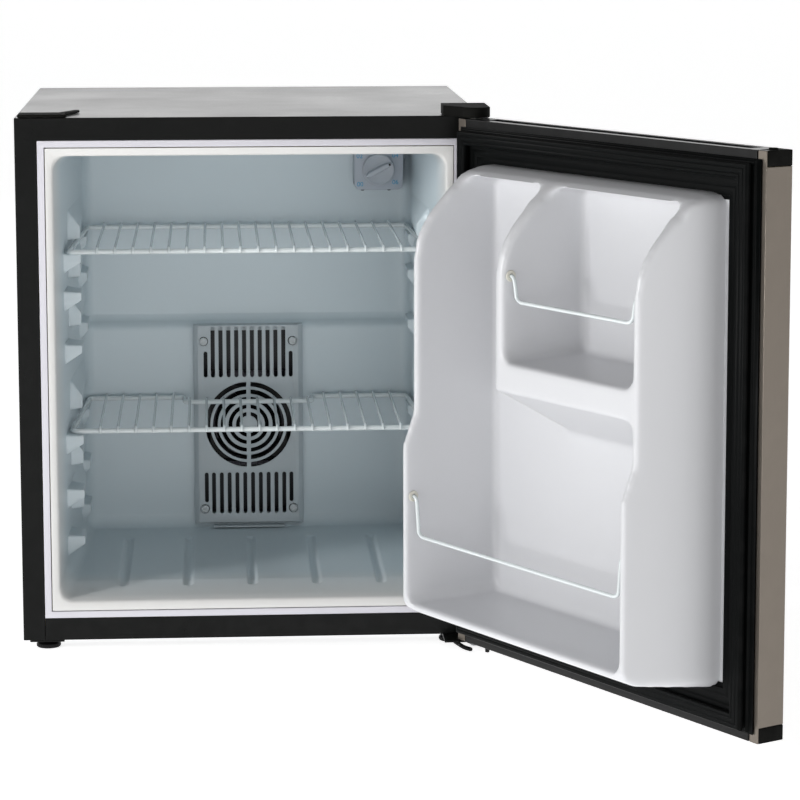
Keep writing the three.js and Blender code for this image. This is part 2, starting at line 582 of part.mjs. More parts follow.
function rearCover() {
  const { x, z, y } = REAR_GRILLE;
  const { count, pitch, low, height } = REAR_LOUVRES;
  const outer = sweepY(roundedRect([-x, x], z, 8), y);
  const inner = block([-x + 2, x - 2], [y[0] - 1, y[1] - 2], [z[0] + 2, z[1] - 2]);
  const bosses = REAR_SCREWS.map(([sx, sz]) => drum('y', [sx, sz], 5, [y[0], y[1] - 1], 12));
  const louvres = Array.from({ length: count }, (_, i) => low + i * pitch).flatMap((foot) => [-1, 1].map(
    (side) => block([side * 32 - 28, side * 32 + 28], [y[0] - 1, y[1] + 1], [foot, foot + height])));
  const holes = REAR_SCREWS.map(([sx, sz]) => drum('y', [sx, sz], 2, [y[0] - 1, y[1] + 1], 8));
  return cut(join(cut(outer, inner), ...bosses), ...louvres, ...holes);
}

function powerBoard() {
  const board = block([-52, 52], [170, 171.6], [32, 76]);
  const parts = [
    block([-46, -22], [171.5, 190], [40, 64]),
    block([-12, 0], [171.5, 186], [38, 70]),
    block([26, 48], [171.5, 183], [44, 60]),
    drum('y', [12, 48], 7, [171.5, 195], 12),
    drum('y', [12, 66], 5, [171.5, 189], 12),
  ];
  const posts = [-48, 48].map((x) => drum('y', [x, 72], 2.5, [HOUSING.y + 2 + GAP, 170.1], 8));
  return join(board, ...parts, ...posts);
}

function cordGland() {
  const y = [PANEL_Y - 8, PANEL_Y + 9];
  const body = drum('y', [GLAND.x, GLAND.z], 8.1, y, 16);
  const flange = drum('y', [GLAND.x, GLAND.z], 11, [PANEL_Y + GAP, PANEL_Y + 3], 16);
  return cut(join(body, flange), drum('y', [GLAND.x, GLAND.z], 3.6, [y[0] - 1, y[1] + 1], 12));
}

const hotFrom = HOUSING.y - GAP / 2;
piece(fridge, 'hot_heat_sink', toGeometry(join(
  heatSink(48, [100, 212], HOUSING.y + 2 + GAP, 176, 5, 15, 1.6),
  block([-20, 20], [hotFrom, HOUSING.y + 4], [FAN_Z - 20, FAN_Z + 20]))), ALUMINIUM);
piece(fridge, 'rear_housing', toGeometry(rearHousing()), BLACK_PLASTIC);
piece(fridge, 'rear_fan_frame', toGeometry(fanFrame(46, [177, 202], 43.5, [177, 180], 18)), BLACK_PLASTIC);
piece(fridge, 'rear_fan_rotor', toGeometry(fanRotor(18, 41, [181, 200], 7)), BLACK_PLASTIC);
piece(fridge, 'rear_cover', toGeometry(rearCover()), BLACK_PLASTIC);
REAR_SCREWS.forEach((spot, i) => {
  piece(fridge, `rear_cover_screw_${i + 1}`, toGeometry(panScrew([spot[0], spot[1]], BACK + GAP, -1)), STEEL);
});
piece(fridge, 'power_board', toGeometry(powerBoard()), BOARD);
piece(fridge, 'cord_gland', toGeometry(cordGland()), RUBBER);

// ---------------------------------------------------------------- shelves
function shelf({ front, back, z, notch }) {
  const half = { front: 175, back: 166 };
  const notchX = 66;
  const edge = [[-half.front, front], [half.front, front], [half.back, back]];
  if (notch) edge.push([notchX, back], [notchX, back - notch], [-notchX, back - notch], [-notchX, back]);
  edge.push([-half.back, back]);
  const rails = edge.map((from, i) => {
    const to = edge[(i + 1) % edge.length];
    return wire([...from, z], [...to, z], FRAME_WIRE);
  });
  const knuckles = edge.map(([x, y]) => toSolid(new THREE.IcosahedronGeometry(FRAME_WIRE * 1.1)
    .translate(x, y, z)));
  const top = z + FRAME_WIRE + CROSS_WIRE - 0.6;
  const crosses = Array.from({ length: CROSS_COUNT }, (_, i) => {
    const x = (i - (CROSS_COUNT - 1) / 2) * CROSS_PITCH;
    const end = notch && Math.abs(x) < notchX ? back - notch : back;
    return wire([x, front - 1, top], [x, end + 1, top], CROSS_WIRE, 5);
  });
  return join(...rails, ...knuckles, ...crosses);
}

piece(fridge, 'upper_shelf', toGeometry(shelf(SHELF_UPPER)), WHITE_WIRE);
piece(fridge, 'lower_shelf', toGeometry(shelf(SHELF_LOWER)), WHITE_WIRE);

// ---------------------------------------------------------------- door
// The sheet is cut back at the free side's two corners, where plastic plugs take over from it.
function doorSkin() {
  const outer = block([-HALF_W, HALF_W], [DOOR_OUT, DOOR_IN - GAP], DOOR_Z);
  const inner = block([-HALF_W + 1, HALF_W - 1], [DOOR_OUT + 1, DOOR_IN - 1.3], [-1, HEIGHT + 1]);
  const mouth = block([-209, 209], [DOOR_OUT + 5, 0], [-1, HEIGHT + 1]);
  const corners = [[-1, DOOR_Z[0] + CAP + GAP], [DOOR_Z[1] - CAP - GAP, HEIGHT + 1]]
    .map((z) => block([-HALF_W - 1, -HALF_W + 1], [DOOR_OUT - 1, DOOR_IN - 1.3], z));
  return cut(outer, inner, mouth, ...corners);
}

// The plastic cap that closes the door's top or bottom end; the top one has a long finger groove.
function doorCap(top) {
  const z = top ? [DOOR_Z[1] - CAP, DOOR_Z[1]] : [DOOR_Z[0], DOOR_Z[0] + CAP];
  const body = block([-HALF_W + 1 + GAP, HALF_W - 1 - GAP], [DOOR_OUT + 1 + GAP, DOOR_IN - 1.3 - GAP], z);
  const rim = block([-208, 208], [DOOR_IN - 4, DOOR_IN], z);
  const bush = drum('z', [HINGE.x, HINGE.y], BUSH + GAP, [z[0] - 1, z[1] + 1]);
  const plug = block([-HALF_W - 1, -205 + GAP], [DOOR_OUT - 1, DOOR_IN - 6 + GAP], [z[0] - 1, z[1] + 1]);
  const cap = cut(join(body, rim), bush, plug);
  return top ? cut(cap, block([-190, 188], [-257, -243], [z[1] - 6, z[1] + 1])) : cap;
}

// A plug's outer face takes the place of the sheet's side; its body sits in the end cap.
function cornerPlug(top) {
  const z = top ? [DOOR_Z[1] - CAP, DOOR_Z[1]] : [DOOR_Z[0], DOOR_Z[0] + CAP];
  const face = block([-HALF_W, -HALF_W + 1], [DOOR_OUT, DOOR_IN - 1.3 - GAP], z);
  const body = block([-HALF_W + 1, -205], [DOOR_OUT + 1 + GAP, DOOR_IN - 6], z);
  const stud = top ? drum('z', [-211, -250], 4, [z[1] - 1, z[1] + 1.4], 10)
    : drum('z', [-211, -250], 4, [z[0] - 1.4, z[0] + 1], 10);
  return join(face, body, stud);
}

function hingeBush(top) {
  const z = top ? [DOOR_Z[1] - CAP + 0.6, DOOR_Z[1]] : [DOOR_Z[0], DOOR_Z[0] + CAP - 0.6];
  const bore = drum('z', [HINGE.x, HINGE.y], PIN + GAP, [z[0] - 1, z[1] + 1]);
  return cut(drum('z', [HINGE.x, HINGE.y], BUSH, z), bore);
}

function doorFoam() {
  return block([-HALF_W + 1 + GAP, HALF_W - 1 - GAP], [DOOR_OUT + 1 + GAP, DOOR_IN - 1.8 - GAP],
    [DOOR_Z[0] + CAP + GAP, DOOR_Z[1] - CAP - GAP]);
}

// How far the racks stand out at each height, from the top edge down.
const RACK_PROFILE = [[TUB_Z[1], -221], [456, -205], [449, -195], [438, -182], [424, -167.5], [413, -158.5],
  [400, -151], [386, -147.2], [370, RIM_HIGH], [240, RIM_HIGH], [207, RIM_LOW], [66, RIM_LOW],
  [58, -136], [54, -142]];

function rackBlank() {
  const side = [[TUB_Z[0], DOOR_IN], ...[...RACK_PROFILE].reverse(), [TUB_Z[1], DOOR_IN]];
  const profile = sweepX(outline(side.map(([z, y]) => [y, z])), [-TUB_X, TUB_X]);
  const draft = loft([
    { y: DOOR_IN - 1, x: [-TUB_X, TUB_X], z: [TUB_Z[0] - 1, TUB_Z[1] + 1], r: 10 },
    { y: RIM_LOW + 1, x: [-TUB_X + 5, TUB_X - 5], z: [TUB_Z[0] + 10, TUB_Z[1] + 1], r: 10 },
  ]);
  return profile.intersect(draft);
}

// A rack's hollow: its back corners at the tub's back face, widening towards the mouth by `draft`.
function rackHollow(x, z, [left, right, below, above]) {
  return loft([
    { y: TUB_BASE, x, z, r: 9 },
    { y: RIM_LOW + 5, x: [x[0] - left, x[1] + right], z: [z[0] - below, z[1] + above], r: 9 },
  ]);
}

function doorLiner() {
  const sheet = block([-208.6, 208.6], [DOOR_IN - 1.5, DOOR_IN + 0.1],
    [DOOR_Z[0] + CAP + GAP, DOOR_Z[1] - CAP - GAP]);
  const side = TUB_X - 17;
  const topZ = 452;
  const tall = rackHollow([PARTITION_X + 6, side], [63, topZ], [6, 6, 1, 3]);
  const low = rackHollow([-side, side], [63, POCKET_Z - 60], [6, 6, 1, 56]);
  const pocket = rackHollow([-side, PARTITION_X - 16], [POCKET_Z + 14, topZ], [6, 7, 3, 3]);
  const sockets = [BAR_UPPER, BAR_LOWER].flatMap(({ x, y, z }) => x.map((wall) => (
    drum('x', [y, z], EYELET + GAP / 2, [wall - 5.3, wall + 5.3], 10))));
  const tub = cut(rackBlank(), tall, low, pocket);
  return cut(join(sheet, tub), ...sockets);
}

// The ring that a bar's end turns in; `side` is +1 in a wall towards the hinge.
function eyelet({ y, z }, wall, side) {
  const along = (a, b) => [wall + side * a, wall + side * b].sort((p, q) => p - q);
  const body = drum('x', [y, z], EYELET, along(-1.6, 5), 10);
  const flange = drum('x', [y, z], 5, along(-1.6, -0.6), 14);
  return cut(join(body, flange), drum('x', [y, z], BAR + 0.4, along(-2, 4.6), 12));
}

function bottleBar({ x, y, z, drop }) {
  const ends = [x[0] + 4.2, x[1] - 4.2];
  const route = [[x[0] - 3.6, z], [ends[0], z], [ends[0], z - drop], [ends[1], z - drop], [ends[1], z],
    [x[1] + 3.6, z]];
  const wires = route.slice(1).map(([px, pz], i) => wire([route[i][0], y, route[i][1]], [px, y, pz], BAR));
  const elbows = route.slice(1, -1).map(([px, pz]) => toSolid(
    new THREE.IcosahedronGeometry(BAR * 1.1).translate(px, y, pz)));
  return join(...wires, ...elbows);
}

// Magnetic seal: a thin base on the door and a hollow-looking bulb that meets the cabinet's frame.
function doorGasket() {
  const base = ring(218.5, [14.5, 485.5], 174.5, [33, 465], [DOOR_IN + 0.4, DOOR_IN + 1.6]);
  const fold = ring(209, [11, 489], 178, [36.5, 461.5], [DOOR_IN + 1.5, DOOR_IN + 4]);
  const neck = ring(204, [15, 485], 198, [21, 479], [DOOR_IN + 3.9, DOOR_IN + 6]);
  const bulb = ring(208, [11, 489], 195, [24, 476], [DOOR_IN + 5.9, FRONT - 0.7]);
  return join(base, fold, neck, bulb);
}

piece(door, 'door_skin', toGeometry(doorSkin()), STAINLESS);
piece(door, 'door_top_cap', toGeometry(doorCap(true)), BLACK_PLASTIC);
piece(door, 'door_bottom_cap', toGeometry(doorCap(false)), BLACK_PLASTIC);
piece(door, 'door_corner_plug_top', toGeometry(cornerPlug(true)), BLACK_PLASTIC);
piece(door, 'door_corner_plug_bottom', toGeometry(cornerPlug(false)), BLACK_PLASTIC);
piece(door, 'top_hinge_bush', toGeometry(hingeBush(true)), CERAMIC);
piece(door, 'bottom_hinge_bush', toGeometry(hingeBush(false)), CERAMIC);
piece(door, 'door_foam', toGeometry(doorFoam()), FOAM);
piece(door, 'door_liner', toGeometry(doorLiner()), WHITE_DOOR);
piece(door, 'door_gasket', toGeometry(doorGasket()), RUBBER);
for (const [level, bar] of [['upper', BAR_UPPER], ['lower', BAR_LOWER]]) {
  piece(door, `${level}_bottle_bar`, toGeometry(bottleBar(bar)), WHITE_WIRE);
  [[-1, 'free_side'], [1, 'hinge_side']].forEach(([side, place], i) => {
    piece(door, `${level}_eyelet_${place}`, toGeometry(eyelet(bar, bar.x[i], side)), finish(0xd9d7cf, 0.5, 0));
  });
}

export default fridge;
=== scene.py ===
import json
import math

import bmesh
import bpy
from mathutils import Matrix, Vector


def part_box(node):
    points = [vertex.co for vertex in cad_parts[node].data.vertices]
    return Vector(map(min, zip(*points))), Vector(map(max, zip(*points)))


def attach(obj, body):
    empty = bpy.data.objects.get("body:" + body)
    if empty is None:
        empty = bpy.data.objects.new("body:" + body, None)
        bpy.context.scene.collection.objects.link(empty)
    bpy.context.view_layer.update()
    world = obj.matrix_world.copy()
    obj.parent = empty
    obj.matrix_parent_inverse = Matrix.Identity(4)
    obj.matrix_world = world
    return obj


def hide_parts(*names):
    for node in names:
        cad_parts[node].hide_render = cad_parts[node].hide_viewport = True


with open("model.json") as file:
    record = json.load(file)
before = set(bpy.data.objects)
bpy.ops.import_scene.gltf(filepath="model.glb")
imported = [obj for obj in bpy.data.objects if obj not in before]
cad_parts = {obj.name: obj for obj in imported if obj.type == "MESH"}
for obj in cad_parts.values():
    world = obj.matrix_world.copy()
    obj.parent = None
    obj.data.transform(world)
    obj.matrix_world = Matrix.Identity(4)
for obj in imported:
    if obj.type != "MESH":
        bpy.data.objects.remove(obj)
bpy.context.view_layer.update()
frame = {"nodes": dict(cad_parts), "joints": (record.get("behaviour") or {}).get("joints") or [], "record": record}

MM = 0.001
BROAD = 0.0015                        # faces over this many square metres are shaded flat
NODES = frame["nodes"]
JOINTS = {joint["name"]: joint for joint in frame["joints"]}
SLOT_OF = {part["node"]: part["material_slot"] for part in frame["record"]["subparts"]}


def edges_of(node):
    """A node's lowest and highest corner in millimetres."""
    low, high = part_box(node)
    return Vector(low) / MM, Vector(high) / MM


# ---------------------------------------------------------------- sizes
FRONT = edges_of("cabinet_shell")[0].y
STRIP_LOW, STRIP_HIGH = edges_of("breaker_frame")
STRIP = 6.4                           # width of the white strip round the mouth

MOUTH_X = 184.7                       # half width of the liner at its mouth
LIP_X = 182.3                         # and where its sill has risen to the floor
REAR_X = 170.6                        # and at its back wall
MOUTH_Z = (37.6, 464.0)
FLOOR_Z = 46.0
CEILING_Z = 461.0
CEILING_REAR_Z = 455.0
LIP_Y = -172.0
BACK_LOW = 83.0                       # back wall under the step
BACK_STEP = 12.0                      # how much deeper it is over the step
STEP_Z = (257.0, 269.0)
CORNER = 13.0
LINER_WALL = 2.2
PAINTED_COOL_SHADE_DEPTHS = (-0.219, -0.14)          # depths in metres over which a painted cool shade deepens on the liner's colour
PAINTED_RECESS_SHADE_DEPTHS = (0.096, 0.102)         # and where a painted dark shade covers the recess behind the fan
BRACKET_TOPS = (360.7, 323.5, 271.5, 181.7, 128, 81.5)
BRACKET_EDGE = 8.0
BRACKET_HEIGHT = 19.0
BRACKETS = ((-131, -91, 164), (26, 72, 164.5))     # start, end and tip of the front and back ones
GUIDE_SOLES = (369.5, 332, 283.6, 200.2, 144.2, 100)
GUIDE_FRONT = -84.0
GUIDE_EDGE = 13.0
GUIDE_HEIGHT = 29.0
GUIDE_TIPS = (166.5, 170.4)           # at its front and at the back wall
GROOVE_PITCH = 62.5
GROOVE_HALF = 4.6
GROOVE_Y = (-186, 25)
GROOVE_DEPTH = 2.4
RECESS_X, RECESS_Z, RECESS_Y = 50.0, (57.0, 254.0), 118.0

FAN_Z = 155.6
COVER_FRONT = 72.0
COVER_FOOT = 82.7
COVER_Z = (49.5, 261.5)
COVER_FACE, COVER_HALF = 48.0, 57.0
UPPER_SLOTS, LOWER_SLOTS = (205.5, 259.5), (60.5, 105)
UPPER_SIDE_SLOT, LOWER_SIDE_SLOT = (205.5, 233.5), (72.5, 105)
SLOT_COUNT, SLOT_PITCH, SIDE_SLOT_X = 10, 8.2, 44.5
GRILLE_RINGS = ((40.4, 45.2), (32.5, 37.2), (25.2, 29.2), (17.2, 21), (9.4, 13.2))
GRILLE_BAR = 1.9                      # half width of the grille's upright bar
SCREW_X, SCREW_Z, SCREW_WELL = 46.5, (66.0, 244.0), 5.2

KNOB_X, KNOB_Z, KNOB_R = 136.4, 424.2, 16.5
THERMOSTAT_FRONT = 60.0
KNOB_TILT = math.radians(27)
DIAL_DIGITS = (("02", (-19.5, 13.6)), ("04", (17.5, 14.2)), ("00", (-19, -15.6)), ("06", (17.5, -13.6)))
DIGIT_SIZE = 6.6

DOOR_IN = -235.0                      # the door's inner face when shut
RACK_X = 170.0
RACK_BASE = -231.0
RIM_HIGH, RIM_LOW = -146.5, -133.5
PARTITION_X = 36.0
POCKET_Z = 290.0
RACK_PROFILE = ((461, -221), (456, -205), (449, -195), (438, -182), (424, -167.5), (413, -158.5),
                (400, -151), (386, -147.2), (370, RIM_HIGH), (240, RIM_HIGH), (207, RIM_LOW),
                (66, RIM_LOW), (58, -136), (50, -150))
SHEET_HALF, SHEET_MARGIN = 208.6, 13.5
GASKET_X, GASKET_Z = 200.0, (19.0, 481.0)
BAR = 1.75
BARS = {"upper": dict(y=-155.0, z=377.0, drop=22.0, x=(-157.4, 25.2)),
        "lower": dict(y=-142.0, z=161.0, drop=36.0, x=(-158.2, 158.2))}

SHELF_WIRE, CROSS_WIRE = 2.5, 1.4
CROSS_COUNT, CROSS_PITCH = 18, 17.4
SHELVES = {"upper_shelf": dict(front=-136.0, back=84.0, z=363.5, notch=0.0),
           "lower_shelf": dict(front=-120.0, back=76.0, z=184.5, notch=30.0)}
SHELF_X = (175, 166)                  # half width at the front rail and at the back one
NOTCH_X = 66.0
STOP_PEG = (178, -240)

HINGE = Vector(JOINTS["door_hinge"]["pos_m"])
SWING = -math.radians(JOINTS["door_hinge"]["range_deg"][0])
STAND_OPEN = Matrix.Translation(HINGE) @ Matrix.Rotation(SWING, 4, "Z") @ Matrix.Translation(-HINGE)


# ---------------------------------------------------------------- node trees
FLOAT, COLOUR, VECTOR = "NodeSocketFloat", "NodeSocketColor", "NodeSocketVector"
MESH = "NodeSocketGeometry"


def add(tree, kind, inputs=None, **settings):
    """A node with its settings; an input is linked from a socket or set to a value."""
    node = tree.nodes.new(kind)
    for key, value in settings.items():
        setattr(node, key, value)
    for key, value in (inputs or {}).items():
        if isinstance(value, bpy.types.NodeSocket):
            tree.links.new(value, node.inputs[key])
        else:
            node.inputs[key].default_value = value
    return node


def maths(tree, operation, first, second, clamp=False):
    return add(tree, "ShaderNodeMath", {0: first, 1: second}, operation=operation,
               use_clamp=clamp).outputs[0]


def ranged(tree, value, low, high, start=0.0, end=1.0):
    """A value taken from one range to another."""
    return add(tree, "ShaderNodeMapRange", {"Value": value, "From Min": low, "From Max": high,
               "To Min": start, "To Max": end}).outputs["Result"]


def blended(tree, factor, first, second):
    """A colour between two."""
    return add(tree, "ShaderNodeMix", {"Factor": factor, 6: first, 7: second},
               data_type="RGBA").outputs[2]


def noise(tree, vector, scale, detail, roughness=0.5):
    return add(tree, "ShaderNodeTexNoise", {"Vector": vector, "Scale": scale, "Detail": detail,
               "Roughness": roughness}).outputs["Fac"]


def axis_of(tree, vector, axis):
    return add(tree, "ShaderNodeSeparateXYZ", {"Vector": vector}).outputs[axis]


def new_group(name, kind, inputs, *outputs):
    """A node group with named sockets, the sockets that it is given and its output node."""
    tree = bpy.data.node_groups.new(name, kind)
    for label, (socket, value) in inputs.items():
        made = tree.interface.new_socket(label, in_out="INPUT", socket_type=socket)
        if value is not None:
            made.default_value = value
    for label, socket in outputs:
        tree.interface.new_socket(label, in_out="OUTPUT", socket_type=socket)
    return tree, tree.nodes.new("NodeGroupInput").outputs, tree.nodes.new("NodeGroupOutput")


def delivered(tree, result, **values):
    """The group with its outputs linked."""
    for label, socket in values.items():
        tree.links.new(socket, result.inputs[label])
    return tree


def moulded_grain_group():
    """Moulded plastic: a fine spark texture over broad, faint clouds of shade and gloss."""
    tree, given, result = new_group("Moulded grain", "ShaderNodeTree", {
        "Vector": (VECTOR, None), "Colour": (COLOUR, (0.8, 0.8, 0.8, 1)),
        "Shade": (COLOUR, (0.7, 0.7, 0.7, 1)), "Grain Scale": (FLOAT, 1800.0),
        "Cloud Scale": (FLOAT, 9.0), "Roughness": (FLOAT, 0.4), "Spread": (FLOAT, 0.08)},
        ("Colour", COLOUR), ("Roughness", FLOAT), ("Height", FLOAT))
    grain = noise(tree, given["Vector"], given["Grain Scale"], 3.0, 0.6)
    cloud = noise(tree, given["Vector"], given["Cloud Scale"], 4.0, 0.55)
    blend = maths(tree, "ADD", cloud, maths(tree, "MULTIPLY", grain, 0.35))
    gloss = maths(tree, "MULTIPLY", maths(tree, "SUBTRACT", blend, 0.67), given["Spread"])
    soft = ranged(tree, blend, 0.4, 0.95)
    return delivered(tree, result, Colour=blended(tree, soft, given["Shade"], given["Colour"]),
                     Roughness=maths(tree, "ADD", gloss, given["Roughness"], clamp=True), Height=grain)


def edge_wear_group():
    """Edges rubbed towards another colour, broken up so that the wear is patchy."""
    tree, given, result = new_group("Edge wear", "ShaderNodeTree", {
        "Vector": (VECTOR, None), "Colour": (COLOUR, (0.5, 0.5, 0.5, 1)),
        "Worn Colour": (COLOUR, (0.8, 0.8, 0.8, 1)), "Amount": (FLOAT, 0.4)}, ("Colour", COLOUR))
    sharp = ranged(tree, add(tree, "ShaderNodeNewGeometry").outputs["Pointiness"], 0.52, 0.62)
    broken = ranged(tree, noise(tree, given["Vector"], 60.0, 5.0), 0.42, 0.62)
    rubbed = maths(tree, "MULTIPLY", sharp, broken)
    mask = maths(tree, "MULTIPLY", rubbed, given["Amount"], clamp=True)
    return delivered(tree, result, Colour=blended(tree, mask, given["Colour"], given["Worn Colour"]))


def dust_group():
    """A thin, uneven film of dust on faces that look upwards."""
    tree, given, result = new_group("Dust film", "ShaderNodeTree", {
        "Vector": (VECTOR, None), "Colour": (COLOUR, (0.5, 0.5, 0.5, 1)),
        "Dust Colour": (COLOUR, (0.6, 0.58, 0.54, 1)), "Amount": (FLOAT, 0.1)}, ("Colour", COLOUR))
    facing = axis_of(tree, add(tree, "ShaderNodeNewGeometry").outputs["Normal"], "Z")
    drift = noise(tree, given["Vector"], 22.0, 8.0, 0.7)
    lay = maths(tree, "MULTIPLY", ranged(tree, facing, 0.5, 1.0), drift)
    mask = maths(tree, "MULTIPLY", lay, given["Amount"], clamp=True)
    return delivered(tree, result, Colour=blended(tree, mask, given["Colour"], given["Dust Colour"]))


def drawn_grain_group():
    """Brushed or drawn metal: long fine streaks along one axis of a stretched vector."""
    tree, given, result = new_group("Drawn grain", "ShaderNodeTree", {
        "Vector": (VECTOR, None), "Colour": (COLOUR, (0.6, 0.6, 0.6, 1)),
        "Shade": (COLOUR, (0.4, 0.4, 0.4, 1)), "Scale": (FLOAT, 900.0),
        "Roughness": (FLOAT, 0.35), "Spread": (FLOAT, 0.15)},
        ("Colour", COLOUR), ("Roughness", FLOAT), ("Height", FLOAT))
    streak = noise(tree, given["Vector"], given["Scale"], 4.0, 0.7)
    gloss = maths(tree, "MULTIPLY", maths(tree, "SUBTRACT", streak, 0.5), given["Spread"])
    return delivered(tree, result, Colour=blended(tree, streak, given["Shade"], given["Colour"]),
                     Roughness=maths(tree, "ADD", gloss, given["Roughness"], clamp=True), Height=streak)


GRAIN = moulded_grain_group()
WEAR = edge_wear_group()
DUST = dust_group()
DRAWN = drawn_grain_group()


# ---------------------------------------------------------------- finishes
def use(tree, group, inputs):
    return add(tree, "ShaderNodeGroup", inputs, node_tree=group)


def shade_of(colour, factor=1.0):
    return (*[channel * factor for channel in colour], 1)


def blank_material(name, colour):
    """A material with its tree and its Object coordinates."""
    look = bpy.data.materials.new(name)
    look.use_nodes = True
    look.diffuse_color = (*colour, 1)
    tree = look.node_tree
    return look, tree, add(tree, "ShaderNodeTexCoord").outputs["Object"]


def filled(look, colour, base, height, bump, depth=0.0004, **settings):
    """The material with its shader given a colour, a roughness, a relief and plain settings."""
    tree = look.node_tree
    shader = tree.nodes["Principled BSDF"]
    relief = add(tree, "ShaderNodeBump", {"Height": height, "Strength": bump, "Distance": depth})
    tree.links.new(colour, shader.inputs["Base Color"])
    tree.links.new(base.outputs["Roughness"], shader.inputs["Roughness"])
    tree.links.new(relief.outputs["Normal"], shader.inputs["Normal"])
    for key, value in settings.items():
        shader.inputs[key.replace("_", " ")].default_value = value
    return look


def rubbed(tree, where, base, wear, amount):
    """A finish's colour with its edges worn towards another."""
    return use(tree, WEAR, {"Vector": where, "Colour": base.outputs["Colour"], "Worn Colour": wear,
                            "Amount": amount}).outputs["Colour"]


def dusty(tree, where, colour, amount):
    return use(tree, DUST, {"Vector": where, "Colour": colour, "Amount": amount}).outputs["Colour"]


def moulded(name, colour, roughness=0.4, grain=1800.0, bump=0.04, shade=0.9, wear=None, dust=0.06,
            inner=None, **settings):
    """Moulded plastic or rubber, with its grain, rubbed edges and a film of dust; given inner, also a painted cool
    shade that deepens inwards and a painted dark shade in the fan's recess.
    """
    look, tree, where = blank_material(name, colour)
    base = use(tree, GRAIN, {"Vector": where, "Colour": shade_of(colour), "Shade": shade_of(colour, shade),
                             "Grain Scale": grain, "Roughness": roughness})
    # painted shade: the colour turns to the inner blue deeper in, and to near black in the fan's recess
    if inner:
        depth = axis_of(tree, where, "Y")
        painted_cool_tint = blended(tree, ranged(tree, depth, *PAINTED_COOL_SHADE_DEPTHS), shade_of(colour), shade_of(inner))
        painted_recess_dark = blended(tree, ranged(tree, depth, *PAINTED_RECESS_SHADE_DEPTHS), painted_cool_tint, (0.03, 0.032, 0.036, 1))
        tree.links.new(painted_recess_dark, base.inputs["Colour"])
        tree.links.new(painted_recess_dark, base.inputs["Shade"])
    worn = rubbed(tree, where, base, shade_of(wear or colour), 0.3)
    return filled(look, dusty(tree, where, worn, dust), base, base.outputs["Height"], bump, **settings)


def metal(name, colour, stretch, roughness=0.35, scale=900.0, spread=0.15, bump=0.06):
    """Bare metal with a drawn grain; stretch scales the coordinates along each axis."""
    look, tree, where = blank_material(name, colour)
    pulled = add(tree, "ShaderNodeMapping", {"Vector": where, "Scale": stretch}).outputs["Vector"]
    base = use(tree, DRAWN, {"Vector": pulled, "Colour": shade_of(colour), "Shade": shade_of(colour, 0.8),
                             "Scale": scale, "Roughness": roughness, "Spread": spread})
    # the edges are lightened a quarter: partly rubbed wear, partly a painted highlight along the edges
    worn = rubbed(tree, where, base, shade_of(colour, 1.25), 0.1)
    return filled(look, worn, base, base.outputs["Height"], bump, 0.0003, Metallic=1.0)


def powder_coat(name, colour):
    """Black stoved coat with a fine leather texture and paler rubbed edges."""
    look, tree, where = blank_material(name, colour)
    cells = add(tree, "ShaderNodeTexVoronoi", {"Vector": where, "Scale": 520.0}, feature="SMOOTH_F1")
    height = maths(tree, "ADD", cells.outputs["Distance"], noise(tree, where, 1400.0, 3.0))
    base = use(tree, GRAIN, {"Vector": where, "Colour": shade_of(colour), "Shade": shade_of(colour, 0.7),
                             "Grain Scale": 900.0, "Roughness": 0.3, "Spread": 0.12})
    worn = rubbed(tree, where, base, (0.02, 0.02, 0.02, 1), 0.15)
    return filled(look, dusty(tree, where, worn, 0.02), base, height, 0.12, Specular_IOR_Level=0.16)


def circuit_green(name, colour):
    """A green board with paler copper runs showing through its lacquer."""
    look, tree, where = blank_material(name, colour)
    runs = add(tree, "ShaderNodeTexBrick", {"Vector": where, "Scale": 60.0,
               "Color1": shade_of(colour), "Color2": (0.025, 0.13, 0.05, 1),
               "Mortar": (0.06, 0.22, 0.09, 1), "Mortar Size": 0.03})
    base = use(tree, GRAIN, {"Vector": where, "Colour": runs.outputs["Color"],
                             "Shade": (0.015, 0.08, 0.03, 1), "Roughness": 0.35})
    return filled(look, base.outputs["Colour"], base, base.outputs["Height"], 0.0)


def blown_foam(name, colour):
    """Rigid foam with a skin of closed cells."""
    look, tree, where = blank_material(name, colour)
    cells = add(tree, "ShaderNodeTexVoronoi", {"Vector": where, "Scale": 380.0})
    base = use(tree, GRAIN, {"Vector": where, "Colour": shade_of(colour), "Shade": (0.55, 0.45, 0.2, 1),
                             "Grain Scale": 500.0, "Roughness": 0.85})
    return filled(look, base.outputs["Colour"], base, cells.outputs["Distance"], 0.4, 0.001)


